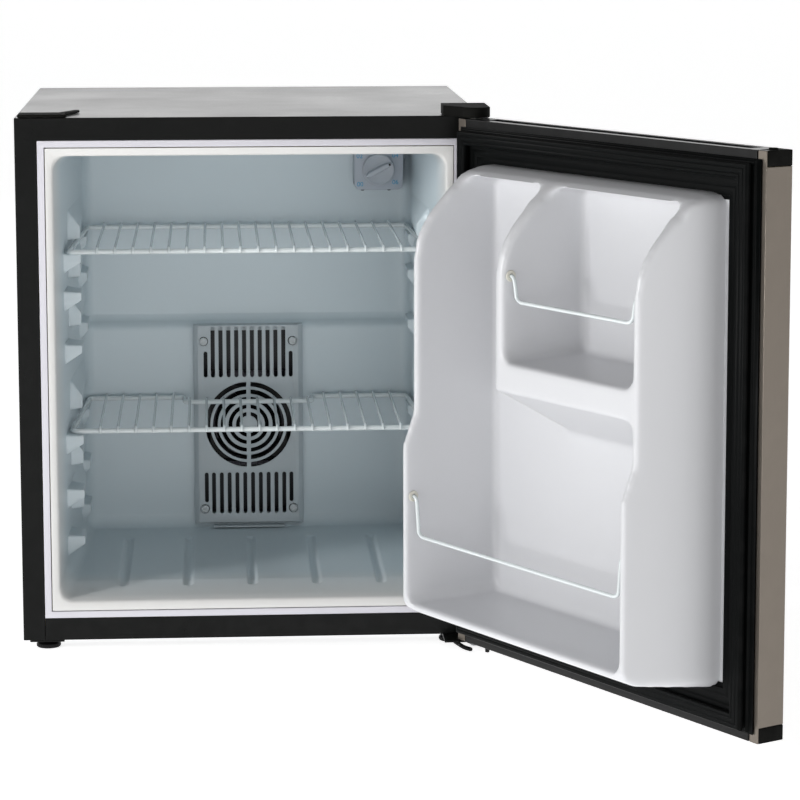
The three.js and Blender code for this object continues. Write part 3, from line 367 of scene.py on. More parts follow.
UPRIGHT = (6.0, 6.0, 0.12)            # streaks that run up and down
ALONG_Y = (3.0, 0.3, 3.0)
LOOKS = {
    "black_steel": powder_coat("black_powder_coat", (0.0032, 0.0036, 0.0033)),
    "black_plastic": moulded("matt_black_plastic", (0.003, 0.003, 0.003), 0.34, 1300.0, 0.08,
                             wear=(0.02, 0.02, 0.02), dust=0.01, Specular_IOR_Level=0.2),
    "black_rubber": moulded("seal_rubber", (0.0025, 0.003, 0.003), 0.4, 900.0, 0.03,
                            wear=(0.01, 0.01, 0.01), dust=0.005, Specular_IOR_Level=0.05),
    "zinc_steel": metal("zinc_plate", (0.5, 0.51, 0.53), (1, 1, 1), 0.34, 60.0, 0.3, 0.03),
    "stainless": metal("warm_brushed_stainless", (0.225, 0.197, 0.168), UPRIGHT, 0.36, 700.0, 0.2, 0.05),
    # the liner's inner colour is a painted cool shade deeper in the cabinet
    "liner_plastic": moulded("liner_white", (0.72, 0.715, 0.70), 0.32, 700.0, 0.02, 0.97,
                             wear=(0.74, 0.75, 0.75), dust=0.0, inner=(0.60, 0.675, 0.71)),
    "strip_plastic": moulded("strip_white", (0.66, 0.65, 0.70), 0.38, 1200.0, 0.02, 0.95),
    "door_liner_plastic": moulded("door_liner_white", (0.66, 0.665, 0.685), 0.34, 800.0, 0.02, 0.97,
                                  wear=(0.82, 0.84, 0.87), dust=0.0),
    "grille_plastic": moulded("grille_grey", (0.50, 0.55, 0.575), 0.42, 1100.0, 0.03,
                              wear=(0.55, 0.6, 0.63)),
    "thermostat_plastic": moulded("control_grey", (0.44, 0.475, 0.53), 0.42, 1300.0, 0.04),
    "knob_plastic": moulded("knob_grey", (0.47, 0.50, 0.545), 0.36, 1300.0, 0.04,
                            wear=(0.5, 0.54, 0.58)),
    "screw_cap_plastic": moulded("coated_screw", (0.62, 0.65, 0.66), 0.34, 900.0, 0.03),
    "white_wire": moulded("coated_wire_white", (0.74, 0.79, 0.80), 0.24, 500.0, 0.03, 0.93,
                          dust=0.0, Coat_Weight=0.3),
    "foam": blown_foam("blown_foam", (0.75, 0.66, 0.36)),
    # the aluminium's colour is darkened as a painted shade for the heat sink in the dim recess
    "aluminium": metal("shade_darkened_aluminium", (0.17, 0.165, 0.19), ALONG_Y, 0.36, 800.0),
    "ceramic_plate": moulded("alumina_white", (0.8, 0.8, 0.76), 0.55, 2500.0, 0.05),
    "circuit_board": circuit_green("circuit_green", (0.02, 0.1, 0.04)),
    "bush_plastic": moulded("natural_nylon", (0.7, 0.68, 0.6), 0.45, 1600.0, 0.05),
}
HINGE_BLACK = moulded("matt_hinge_black", (0.004, 0.004, 0.0035), 0.75, 1500.0, 0.15,
                      wear=(0.02, 0.02, 0.018), dust=0.02, Specular_IOR_Level=0.08)
INK = moulded("blue_ink", (0.015, 0.30, 0.52), 0.5, 2000.0, 0.0)
# black for the pointer dot, and a painted shade for the screw holes under the thermostat box
BLACK_AND_PAINTED_HOLE_SHADE = moulded("black_and_painted_hole_shade", (0.004, 0.004, 0.004), 0.8, 900.0, 0.0)


# ---------------------------------------------------------------- camera and light
def place_camera():
    """A long lens a little to the left of the fridge, looking slightly down at it."""
    data = bpy.data.cameras.new("camera")
    data.sensor_width = 36
    data.lens = 137.1
    data.shift_y = -0.0875
    camera = bpy.data.objects.new("camera", data)
    camera.location = (-0.0348, -3.0827, 0.7084)
    yaw, pitch, roll = math.radians(-3.52), math.radians(90 - 8.18), math.radians(-0.08)
    camera.rotation_euler = (Matrix.Rotation(yaw, 4, "Z") @ Matrix.Rotation(pitch, 4, "X")
                             @ Matrix.Rotation(roll, 4, "Z")).to_euler()
    bpy.context.scene.collection.objects.link(camera)
    bpy.context.scene.camera = camera


def soft_light(name, place, target, size, power, mirrored=True):
    """A rectangular softbox; one that isn't mirrored makes no highlight."""
    data = bpy.data.lights.new(name, "AREA")
    data.shape = "RECTANGLE"
    data.size, data.size_y = size
    data.energy = power
    lamp = bpy.data.objects.new(name, data)
    lamp.location = place
    lamp.rotation_euler = (Vector(target) - Vector(place)).to_track_quat("-Z", "Y").to_euler()
    lamp.visible_glossy = mirrored
    bpy.context.scene.collection.objects.link(lamp)


def studio():
    """White all round, brighter behind the fridge than in front, with softboxes to shape it."""
    scene = bpy.context.scene
    scene.view_settings.view_transform = "Standard"
    world = bpy.data.worlds.new("studio")
    world.use_nodes = True
    tree = world.node_tree
    sky = add(tree, "ShaderNodeTexCoord").outputs["Generated"]
    level = maths(tree, "MULTIPLY", ranged(tree, axis_of(tree, sky, "Y"), -0.6, 0.5, 0.40, 1.6),
                  ranged(tree, axis_of(tree, sky, "Z"), 0.15, 0.45, 1.0, 0.08))
    tree.links.new(level, tree.nodes["Background"].inputs["Strength"])
    tree.nodes["Background"].inputs["Color"].default_value = (1, 1, 1, 1)
    scene.world = world
    soft_light("left_softbox", (-1.95, -1.35, 0.7), (0.1, -0.2, 0.2), (0.45, 0.45), 26)
    soft_light("low_softbox", (0.2, -3.0, 0.3), (0.0, 0.0, 0.3), (1.6, 0.6), 12, mirrored=False)
    soft_light("right_softbox", (1.9, -2.4, 0.8), (0.3, -0.4, 0.25), (1.2, 1.6), 8)
    soft_light("rear_softbox", (0.0, 4.0, 1.0), (0.1, 0.0, 0.45), (5.0, 1.6), 8)


# ---------------------------------------------------------------- pieces
def piece(name, bm, look, sharp=38.0):
    """A smooth-shaded object from a mesh in millimetres, with its sharp edges kept."""
    bmesh.ops.scale(bm, vec=(MM, MM, MM), verts=bm.verts)
    mesh = bpy.data.meshes.new(name)
    bm.to_mesh(mesh)
    bm.free()
    for face in mesh.polygons:
        face.use_smooth = True
    mesh.set_sharp_from_angle(angle=math.radians(sharp))
    mesh.materials.append(look)
    made = bpy.data.objects.new(name, mesh)
    bpy.context.scene.collection.objects.link(made)
    return made


def discard(*objects):
    for spare in objects:
        mesh = spare.data
        bpy.data.objects.remove(spare)
        bpy.data.meshes.remove(mesh)


def outward(bm):
    """Points every face outwards."""
    bmesh.ops.recalc_face_normals(bm, faces=bm.faces)
    return bm


def closed(bm, near=0.004):
    """Merges doubles and points every face outwards."""
    bmesh.ops.remove_doubles(bm, verts=bm.verts, dist=near)
    return outward(bm)


def in_millimetres(mesh):
    """A mesh's copy, ready to be worked on in millimetres."""
    bm = bmesh.new()
    bm.from_mesh(mesh)
    bmesh.ops.scale(bm, vec=(1 / MM,) * 3, verts=bm.verts)
    return bm


def banded(bm, pairs):
    """Bands of faces between pairs of rings."""
    for low, high in pairs:
        for i in range(len(low)):
            n = (i + 1) % len(low)
            bm.faces.new((low[i], low[n], high[n], high[i]))
    return bm


def capped(bm, rings):
    """A closed solid through a row of rings."""
    banded(bm, zip(rings, rings[1:]))
    bm.faces.new(rings[0])
    bm.faces.new(list(reversed(rings[-1])))
    return outward(bm)


def rounded(bm, edges, offset, segments=2):
    bmesh.ops.bevel(bm, geom=edges, offset=offset, segments=segments, affect="EDGES", profile=0.5)
    return bm


def applied(made, *modifiers):
    """The object with modifiers applied to its mesh, each given as (kind, settings)."""
    for kind, settings in modifiers:
        modifier = made.modifiers.new(kind.lower(), kind)
        for key, value in settings.items():
            setattr(modifier, key, value)
    bpy.context.view_layer.update()
    seen = made.evaluated_get(bpy.context.evaluated_depsgraph_get())
    mesh = bpy.data.meshes.new_from_object(seen)
    made.modifiers.clear()
    old = made.data
    made.data = mesh
    bpy.data.meshes.remove(old)
    return made


def settle(made, body, *nodes, slot=None):
    """Gives a piece its body, and hides the nodes that it stands for; the slot is not used."""
    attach(made, body)
    if nodes:
        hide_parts(*nodes)
    return made


def swung(made):
    """Turns a piece drawn on the shut door to where the door stands."""
    made.data.transform(STAND_OPEN)
    return made


def softened(node, body, bevel, look=None):
    """A node's own shape with its facets merged and its edges rounded."""
    bm = in_millimetres(NODES[node].data)
    bmesh.ops.remove_doubles(bm, verts=bm.verts, dist=0.02)
    bmesh.ops.dissolve_limit(bm, angle_limit=math.radians(1), verts=bm.verts, edges=bm.edges)
    limit = math.radians(30)
    rims = [edge for edge in bm.edges if len(edge.link_faces) == 2 and edge.calc_face_angle(0) > limit]
    bmesh.ops.bevel(bm, geom=rims, offset=bevel, offset_type="OFFSET", segments=2,
                    profile=0.5, affect="EDGES", clamp_overlap=True)
    made = piece(f"{node}_fine", bm, look or LOOKS[SLOT_OF[node]], 40)
    for face in made.data.polygons:
        face.use_smooth = face.area < BROAD
    return settle(made, body, node)


def turned(bm, profile, centre, axis="y", sides=48):
    """A solid of revolution: profile is (radius, along) from axis to axis or closed on itself."""
    rows = []
    for step in range(sides):
        angle = 2 * math.pi * step / sides
        row = []
        for radius, along in profile:
            across, up = radius * math.cos(angle), radius * math.sin(angle)
            spot = {"x": (along, across, up), "y": (across, along, up), "z": (across, up, along)}[axis]
            row.append(bm.verts.new(Vector(spot) + Vector(centre)))
        rows.append(row)
    for row, after in zip(rows, rows[1:] + rows[:1]):
        for i in range(len(profile) - 1):
            if profile[i][0] > 0 or profile[i + 1][0] > 0:
                bm.faces.new((row[i], row[i + 1], after[i + 1], after[i]))
    return bm


def tidy_poles(bm):
    """Closes the fans of thin faces that meet on a turning axis."""
    bmesh.ops.remove_doubles(bm, verts=bm.verts, dist=0.002)
    bmesh.ops.dissolve_degenerate(bm, edges=bm.edges, dist=0.0005)
    return outward(bm)


def block(bm, x, y, z):
    """A box between two corners."""
    made = bmesh.ops.create_cube(bm, size=1)["verts"]
    bmesh.ops.scale(bm, vec=(x[1] - x[0], y[1] - y[0], z[1] - z[0]), verts=made)
    bmesh.ops.translate(bm, vec=((x[0] + x[1]) / 2, (y[0] + y[1]) / 2, (z[0] + z[1]) / 2), verts=made)
    return made


def eased(points, reach, steps=4, loop=True):
    """A route or outline with its corners turned into arcs that start `reach` before each one."""
    points = [Vector(point) for point in points]
    made = []
    last = len(points) - 1
    for i, point in enumerate(points):
        if not loop and i in (0, last):
            made.append(point)
            continue
        before, after = points[i - 1] - point, points[(i + 1) % len(points)] - point
        near = min(reach, before.length * 0.45, after.length * 0.45)
        start, end = point + before.normalized() * near, point + after.normalized() * near
        for step in range(steps + 1):
            t = step / steps
            made.append(start * (1 - t) ** 2 + point * 2 * t * (1 - t) + end * t ** 2)
    return made


def wire(bm, route, radius, sides=10, loop=False):
    """A round wire along a route of points, with rounded ends."""
    count = len(route)
    rings = []
    side = None
    for i, point in enumerate(route):
        ahead = route[(i + 1) % count] if loop or i < count - 1 else route[i]
        behind = route[i - 1] if loop or i > 0 else route[i]
        along = (ahead - behind).normalized()
        if side is None:
            side = along.orthogonal().normalized()
        side = (side - along * side.dot(along)).normalized()
        other = along.cross(side)
        rings.append([bm.verts.new(point + radius * (side * math.cos(a) + other * math.sin(a)))
                      for a in (2 * math.pi * k / sides for k in range(sides))])
    pairs = list(zip(rings, rings[1:]))
    if loop:
        # the last ring may have turned about the wire: join it to the nearest start
        first, end = rings[0], rings[-1]
        turn = min(range(sides), key=lambda k: (first[k].co - end[0].co).length)
        pairs.append((end, first[turn:] + first[:turn]))
    banded(bm, pairs)
    if not loop:
        for ring, point, towards in ((rings[0], route[0], route[0] - route[1]),
                                     (rings[-1], route[-1], route[-1] - route[-2])):
            lift = towards.normalized() * radius
            cap = [bm.verts.new(point + (v.co - point) * 0.72 + lift * 0.68) for v in ring]
            tip = bm.verts.new(point + lift)
            for k in range(sides):
                n = (k + 1) % sides
                bm.faces.new((ring[k], ring[n], cap[n], cap[k]))
                bm.faces.new((cap[k], cap[n], tip))
    return outward(bm)


def swept_frame(bm, profile, x, z, reach=100.0):
    """A closed profile of (outwards, depth) swept round a rectangle with mitred corners.

    Above and below, nothing goes further out than reach."""
    rings = []
    for side, level, up in ((-1, z[0], -1), (1, z[0], -1), (1, z[1], 1), (-1, z[1], 1)):
        rings.append([bm.verts.new((side * (x + out), depth, level + up * min(out, reach)))
                      for out, depth in profile])
    return banded(bm, zip(rings, rings[1:] + rings[:1]))


# ---------------------------------------------------------------- repeats
def row_group():
    """Repeats a mesh along a straight row."""
    tree, given, result = new_group("Row of parts", "GeometryNodeTree", {
        "Geometry": (MESH, None), "Count": ("NodeSocketInt", 2), "Step": (VECTOR, (0, 0, 0)),
        "Material": ("NodeSocketMaterial", None)}, ("Geometry", MESH))
    line = add(tree, "GeometryNodeMeshLine", {"Count": given["Count"], "Offset": given["Step"]})
    copies = add(tree, "GeometryNodeInstanceOnPoints", {"Points": line.outputs["Mesh"],
                 "Instance": given["Geometry"]})
    solid = add(tree, "GeometryNodeRealizeInstances", {"Geometry": copies.outputs["Instances"]})
    painted = add(tree, "GeometryNodeSetMaterial", {"Geometry": solid.outputs["Geometry"],
                  "Material": given["Material"]})
    return delivered(tree, result, Geometry=painted.outputs["Geometry"])


def ring_group():
    """Repeats a mesh round an axis through a centre."""
    tree, given, result = new_group("Ring of parts", "GeometryNodeTree", {
        "Geometry": (MESH, None), "Count": ("NodeSocketInt", 2), "Centre": (VECTOR, (0, 0, 0)),
        "Axis": (VECTOR, (0, 1, 0)), "Material": ("NodeSocketMaterial", None)}, ("Geometry", MESH))
    spots = add(tree, "GeometryNodeMeshLine", {"Count": given["Count"], "Offset": (0.0, 0.0, 0.0)})
    number = add(tree, "GeometryNodeInputIndex").outputs[0]
    angle = maths(tree, "MULTIPLY", number, maths(tree, "DIVIDE", 2 * math.pi, given["Count"]))
    turn = add(tree, "FunctionNodeAxisAngleToRotation", {"Axis": given["Axis"], "Angle": angle})
    back = add(tree, "ShaderNodeVectorMath", {0: given["Centre"], "Scale": -1.0}, operation="SCALE")
    centred = add(tree, "GeometryNodeTransform", {"Geometry": given["Geometry"],
                  "Translation": back.outputs[0]})
    copies = add(tree, "GeometryNodeInstanceOnPoints", {"Points": spots.outputs["Mesh"],
                 "Instance": centred.outputs["Geometry"], "Rotation": turn.outputs["Rotation"]})
    solid = add(tree, "GeometryNodeRealizeInstances", {"Geometry": copies.outputs["Instances"]})
    placed = add(tree, "GeometryNodeTransform", {"Geometry": solid.outputs["Geometry"],
                 "Translation": given["Centre"]})
    painted = add(tree, "GeometryNodeSetMaterial", {"Geometry": placed.outputs["Geometry"],
                  "Material": given["Material"]})
    return delivered(tree, result, Geometry=painted.outputs["Geometry"])


ROW, RING = row_group(), ring_group()


def repeated(made, group, **values):
    """Runs a repeating group on an object, in metres, and keeps the result as its mesh."""
    modifier = made.modifiers.new("repeat", "NODES")
    modifier.node_group = group
    values["Material"] = made.data.materials[0]
    for item in group.interface.items_tree:
        if item.in_out == "INPUT" and item.name in values:
            modifier[item.identifier] = values[item.name]
    return applied(made)


def joined(first, *others):
    """Adds the meshes of others to the first object and removes them."""
    bm = bmesh.new()
    bm.from_mesh(first.data)
    for other in others:
        bm.from_mesh(other.data)
    discard(*others)
    bm.to_mesh(first.data)
    bm.free()
    return first


# ---------------------------------------------------------------- inner liner
def smooth_step(low, high, value):
    t = min(1.0, max(0.0, (value - low) / (high - low)))
    return t * t * (3 - 2 * t)


def ladder(start, end, coarse, fine, details, keep=()):
    """Positions from start to end: coarse steps, with fine ones inside each detail."""
    count = math.ceil((end - start) / coarse)
    marks = [start + (end - start) * i / count for i in range(count + 1)]
    for low, high in details:
        steps = max(1, round((high - low) / fine))
        marks += [low + (high - low) * i / steps for i in range(steps + 1)]
    fixed = sorted({start, end, *keep})
    kept = [mark for mark in marks if start < mark < end
            and min(abs(mark - spot) for spot in fixed) > fine * 0.5]
    picked = []
    for mark in sorted(kept + fixed):
        if mark in fixed or not picked or mark - picked[-1] > fine * 0.5:
            picked.append(mark)
    return picked


def side_half(y):
    """Half the liner's width at a depth."""
    if y < LIP_Y:
        return MOUTH_X + (LIP_X - MOUTH_X) * (y - FRONT) / (LIP_Y - FRONT)
    return LIP_X + (REAR_X - LIP_X) * (y - LIP_Y) / (BACK_LOW - LIP_Y)


def guide_depth(y, z):
    """How far a shelf guide stands in from the side wall: flat below, sloping back above."""
    rise = 0.0
    for sole in GUIDE_SOLES:
        above = z - sole
        if -1.5 < above < GUIDE_HEIGHT + 1:
            lower = smooth_step(-0.8, 1.2, above)
            taper = 1 - max(0.0, above - GUIDE_EDGE) / (GUIDE_HEIGHT - GUIDE_EDGE)
            rise = max(rise, min(lower, max(0.0, taper)))
    share = (y - GUIDE_FRONT) / (BACK_LOW - GUIDE_FRONT)
    tip = GUIDE_TIPS[0] + (GUIDE_TIPS[1] - GUIDE_TIPS[0]) * share
    return rise * smooth_step(GUIDE_FRONT - 1, GUIDE_FRONT + 2, y) * max(0.0, side_half(y) - tip)


def bracket_depth(y, z):
    """How far the side wall is pushed in by the shelf brackets and guides at a point."""
    rise = 0.0
    for top in BRACKET_TOPS:
        below = top - z
        if -1.5 < below < BRACKET_HEIGHT + 1:
            upper = smooth_step(-1.2, 0.8, below)
            taper = 1 - max(0.0, below - BRACKET_EDGE) / (BRACKET_HEIGHT - BRACKET_EDGE)
            rise = max(rise, min(upper, max(0.0, taper)))
    for start, end, tip in BRACKETS:
        window = smooth_step(start - 1, start + 2, y) * (1 - smooth_step(end - 2, end + 2, y))
        if window > 0 and rise > 0:
            return max(rise * window * (side_half(y) - tip), guide_depth(y, z))
    return guide_depth(y, z)


def groove_drop(x, y):
    """How far the floor is sunk by its drain grooves."""
    number = min(2, max(-2, round(x / GROOVE_PITCH)))
    off = abs(x - number * GROOVE_PITCH)
    across = 1 - smooth_step(GROOVE_HALF - 2.6, GROOVE_HALF + 0.4, off)
    along = smooth_step(GROOVE_Y[0] - 2, GROOVE_Y[0] + 5, y)
    along *= 1 - smooth_step(GROOVE_Y[1] - 5, GROOVE_Y[1] + 2, y)
    return GROOVE_DEPTH * across * along


def liner_point(x, y, z, face):
    """Where a point of the plain box goes on the moulding."""
    inner = Vector((max(-LIP_X + CORNER, min(LIP_X - CORNER, x)), min(y, BACK_LOW - CORNER),
                    max(FLOOR_Z + CORNER, min(CEILING_Z - CORNER, z))))
    out = Vector((x, y, z)) - inner
    if out.length > 0:
        x, y, z = inner + out.normalized() * CORNER
    side = math.copysign(1, x)
    spread = smooth_step(0.72, 1.0, abs(x) / LIP_X)
    moved_x = x + side * (side_half(y) - LIP_X) * spread
    sill = max(0.0, (LIP_Y - y) / (LIP_Y - FRONT))
    moved_z = z - (FLOOR_Z - MOUTH_Z[0]) * sill * (1 - smooth_step(FLOOR_Z, FLOOR_Z + 40, z))
    slope = (MOUTH_Z[1] - CEILING_Z) * sill
    slope -= (CEILING_Z - CEILING_REAR_Z) * max(0.0, (y - LIP_Y) / (BACK_LOW - LIP_Y))
    moved_z += slope * smooth_step(CEILING_Z - 40, CEILING_Z, z)
    moved_y = y + BACK_STEP * smooth_step(*STEP_Z, z) * smooth_step(BACK_LOW - 30, BACK_LOW, y)
    if face == "side":
        moved_x -= side * bracket_depth(y, z)
    if face == "floor":
        moved_z -= groove_drop(moved_x, y)
    return Vector((moved_x, moved_y, moved_z))


def liner_ladders():
    """Where the liner's mesh has its lines across, along and up, finer at every detail."""
    grooves = [(n * GROOVE_PITCH + s * GROOVE_HALF - 3.4, n * GROOVE_PITCH + s * GROOVE_HALF + 2.4)
               for n in range(-2, 3) for s in (-1, 1)]
    ends = ((-LIP_X, -LIP_X + CORNER), (LIP_X - CORNER, LIP_X))
    xs = ladder(-LIP_X, LIP_X, 13, 1.45, grooves, (-RECESS_X, RECESS_X))
    xs = ladder(-LIP_X, LIP_X, 400, 3.2, ends, xs)
    tops = [(top - BRACKET_HEIGHT - 1, top - BRACKET_HEIGHT + 1) for top in BRACKET_TOPS]
    tops += [(top - BRACKET_EDGE - 1, top - BRACKET_EDGE + 1) for top in BRACKET_TOPS]
    tops += [(top - 1.4, top + 1.2) for top in BRACKET_TOPS]
    for sole in GUIDE_SOLES:
        tops += [(sole - 1.2, sole + 1.4), (sole + GUIDE_EDGE - 1, sole + GUIDE_EDGE + 1)]
        tops.append((sole + GUIDE_HEIGHT - 1, sole + GUIDE_HEIGHT + 1))
    zs = ladder(FLOOR_Z, CEILING_Z, 12, 0.85, tops, RECESS_Z)
    zs = ladder(FLOOR_Z, CEILING_Z, 500, 3.0, ((FLOOR_Z, FLOOR_Z + CORNER), STEP_Z,
                (CEILING_Z - CORNER, CEILING_Z)), zs)
    fronts = [(GROOVE_Y[0] - 2, GROOVE_Y[0] + 5), (GROOVE_Y[1] - 5, GROOVE_Y[1] + 2)]
    for start, end, _ in BRACKETS:
        fronts += [(start - 1.2, start + 2.2), (end - 2.2, end + 2.2)]
    fronts.append((GUIDE_FRONT - 1.2, GUIDE_FRONT + 2.2))
    ys = ladder(FRONT + 2.6, BACK_LOW, 14, 1.1, fronts, (LIP_Y,))
    ys = ladder(FRONT + 2.6, BACK_LOW, 500, 3.2, ((BACK_LOW - CORNER, BACK_LOW),
                (LIP_Y - 4, LIP_Y + 4)), ys)
    return xs, ys, zs


def fan_recess(bm):
    """Sinks the opening in the back wall into the recess behind the fan cover."""
    rim = [edge for edge in bm.edges if len(edge.link_faces) == 1
           and all(vert.co.y > BACK_LOW - 8 for vert in edge.verts)]
    grown = bmesh.ops.extrude_edge_only(bm, edges=rim)["geom"]
    for vert in (item for item in grown if isinstance(item, bmesh.types.BMVert)):
        vert.co.y = RECESS_Y
    bmesh.ops.contextual_create(bm, geom=[item for item in grown if isinstance(item, bmesh.types.BMEdge)])


def liner_flange(bm, xs, zs, spots):
    """The flange, from the rounded mouth out to a square edge."""
    right, top = len(xs) - 1, len(zs) - 1
    perimeter = [(i, 0) for i in range(right)] + [(right, k) for k in range(top)]
    perimeter += [(i, top) for i in range(right, 0, -1)] + [(0, k) for k in range(top, 0, -1)]
    edge_x = STRIP_HIGH.x - STRIP - 0.8
    edge_z = (STRIP_LOW.z + STRIP + 0.8, STRIP_HIGH.z - STRIP - 0.8)
    inner = [spots[i, 0, k] for i, k in perimeter]
    rows = [inner]
    for share, depth in ((0.1, FRONT + 0.9), (0.24, FRONT), (1.0, FRONT), (1.0, FRONT + 6)):
        row = []
        for (i, k), vert in zip(perimeter, inner):
            goal = Vector((xs[i] / LIP_X * edge_x, 0, edge_z[0] + (zs[k] - FLOOR_Z)
                           / (CEILING_Z - FLOOR_Z) * (edge_z[1] - edge_z[0])))
            flat = Vector((vert.co.x, 0, vert.co.z)).lerp(goal, share)
            row.append(bm.verts.new((flat.x, depth, flat.z)))
        rows.append(row)
    banded(bm, zip(rows, rows[1:]))


def inner_liner():
    """The food liner: five rounded walls, brackets, grooves, a flange and the fan's recess."""
    xs, ys, zs = liner_ladders()
    right, back, top = len(xs) - 1, len(ys) - 1, len(zs) - 1
    bm = bmesh.new()
    spots = {}

    def spot(i, j, k):
        if (i, j, k) not in spots:
            on_side = i in (0, right)
            on_floor = k == 0 and not on_side
            face = "side" if on_side and j < back else "floor" if on_floor else "wall"
            spots[i, j, k] = bm.verts.new(liner_point(xs[i], ys[j], zs[k], face))
        return spots[i, j, k]

    for j in range(back):
        for k in range(top):
            for i in (0, right):
                bm.faces.new((spot(i, j, k), spot(i, j + 1, k), spot(i, j + 1, k + 1), spot(i, j, k + 1)))
        for i in range(right):
            for k in (0, top):
                bm.faces.new((spot(i, j, k), spot(i, j + 1, k), spot(i + 1, j + 1, k), spot(i + 1, j, k)))
    for i in range(right):
        for k in range(top):
            mid_x, mid_z = (xs[i] + xs[i + 1]) / 2, (zs[k] + zs[k + 1]) / 2
            if abs(mid_x) > RECESS_X or not RECESS_Z[0] < mid_z < RECESS_Z[1]:
                bm.faces.new((spot(i, back, k), spot(i + 1, back, k), spot(i + 1, back, k + 1),
                              spot(i, back, k + 1)))
    fan_recess(bm)
    liner_flange(bm, xs, zs, spots)
    outward(bm)
    middles = {face: face.calc_center_median() for face in bm.faces}
    floor = min((face for face, spot in middles.items() if abs(spot.y + 60) < 30 and abs(spot.x) < 20),
                key=lambda face: middles[face].z)
    if floor.normal.z < 0:
        bmesh.ops.reverse_faces(bm, faces=bm.faces)
    made = piece("inner_liner_moulding", bm, LOOKS["liner_plastic"], 44)
    applied(made, ("SOLIDIFY", {"thickness": LINER_WALL * MM, "offset": -1}))
    settle(made, "cabinet", "inner_liner")


def breaker_strip():
    """The white strip that frames the mouth."""
    low, high = FRONT - 0.2, FRONT + 10
    profile = eased([(0, high), (STRIP, high), (STRIP, low), (0, low)], 0.8, 3)
    bm = swept_frame(bmesh.new(), [tuple(p) for p in profile], STRIP_HIGH.x - STRIP,
                     (STRIP_LOW.z + STRIP, STRIP_HIGH.z - STRIP))
    made = piece("white_strip", closed(bm), LOOKS["strip_plastic"], 50)
    settle(made, "cabinet", "breaker_frame")


# ---------------------------------------------------------------- fan cover, fans and thermostat
def upright_mesh(name, data):
    """The mesh of a flat curve or of text, stood up to face the front."""
    made = bpy.data.objects.new(name, data)
    bpy.context.scene.collection.objects.link(made)
    mesh = bpy.data.meshes.new_from_object(made)
    bpy.data.objects.remove(made)
    bpy.data.curves.remove(data)
    mesh.transform(Matrix.Rotation(math.pi / 2, 4, "X"))
    return mesh


def outline_curve(name, outlines, depth, bevel):
    """A flat plate in X and Z with round-cornered holes, as a curve made solid."""
    data = bpy.data.curves.new(name, "CURVE")
    data.dimensions = "2D"
    data.fill_mode = "BOTH"
    data.extrude = depth * MM / 2
    data.bevel_depth = bevel * MM
    data.bevel_resolution = 1
    for points in outlines:
        spline = data.splines.new("POLY")
        spline.points.add(len(points) - 1)
        for place, (x, z) in zip(spline.points, points):
            place.co = (x * MM, z * MM, 0, 1)
        spline.use_cyclic_u = True
    return upright_mesh(name, data)


def slot_outline(x, z, half, steps=6):
    """An upright slot with round ends."""
    arc = [math.pi * i / steps for i in range(steps + 1)]
    upper = [(x + half * math.cos(a), z[1] - half + half * math.sin(a)) for a in arc]
    lower = [(x - half * math.cos(a), z[0] + half - half * math.sin(a)) for a in arc]
    return upper + lower


def arc_outline(inner, outer, side, steps=22):
    """One half of a ring slot, beside the grille's upright bar, with rounded corners."""
    start_out, start_in = math.asin(GRILLE_BAR / outer), math.asin(GRILLE_BAR / inner)
    points = []
    for i in range(steps + 1):
        a = math.pi / 2 - start_out - (math.pi - 2 * start_out) * i / steps
        points.append((side * outer * math.cos(a), outer * math.sin(a)))
    for i in range(steps + 1):
        a = -math.pi / 2 + start_in + (math.pi - 2 * start_in) * i / steps
        points.append((side * inner * math.cos(a), inner * math.sin(a)))
    return [(x, z + FAN_Z) for x, z in (tuple(p) for p in eased(points, 0.9, 2))]


def cover_outlines():
    """The cover's outline and its holes: slots, the round grille and the screw wells."""
    half = COVER_FACE + 4.4
    low, high = COVER_Z[0] + 2, COVER_Z[1] - 1
    plate = [tuple(p) for p in eased([(-half, low), (half, low), (half, high), (-half, high)], 1.5, 3)]
    holes = []
    for i in range(SLOT_COUNT):
        x = (i - (SLOT_COUNT - 1) / 2) * SLOT_PITCH
        holes += [slot_outline(x, UPPER_SLOTS, 2.4), slot_outline(x, LOWER_SLOTS, 2.3)]
    for x in (-SIDE_SLOT_X, SIDE_SLOT_X):
        holes += [slot_outline(x, UPPER_SIDE_SLOT, 2.3), slot_outline(x, LOWER_SIDE_SLOT, 2.3)]
    for inner, outer in GRILLE_RINGS:
        holes += [arc_outline(inner - 0.4, outer + 0.4, side) for side in (-1, 1)]
    for x in (-SCREW_X, SCREW_X):
        for z in SCREW_Z:
            holes.append([(x + SCREW_WELL * math.cos(math.pi * i / 12),
                           z + SCREW_WELL * math.sin(math.pi * i / 12)) for i in range(24)])
    return [plate] + holes


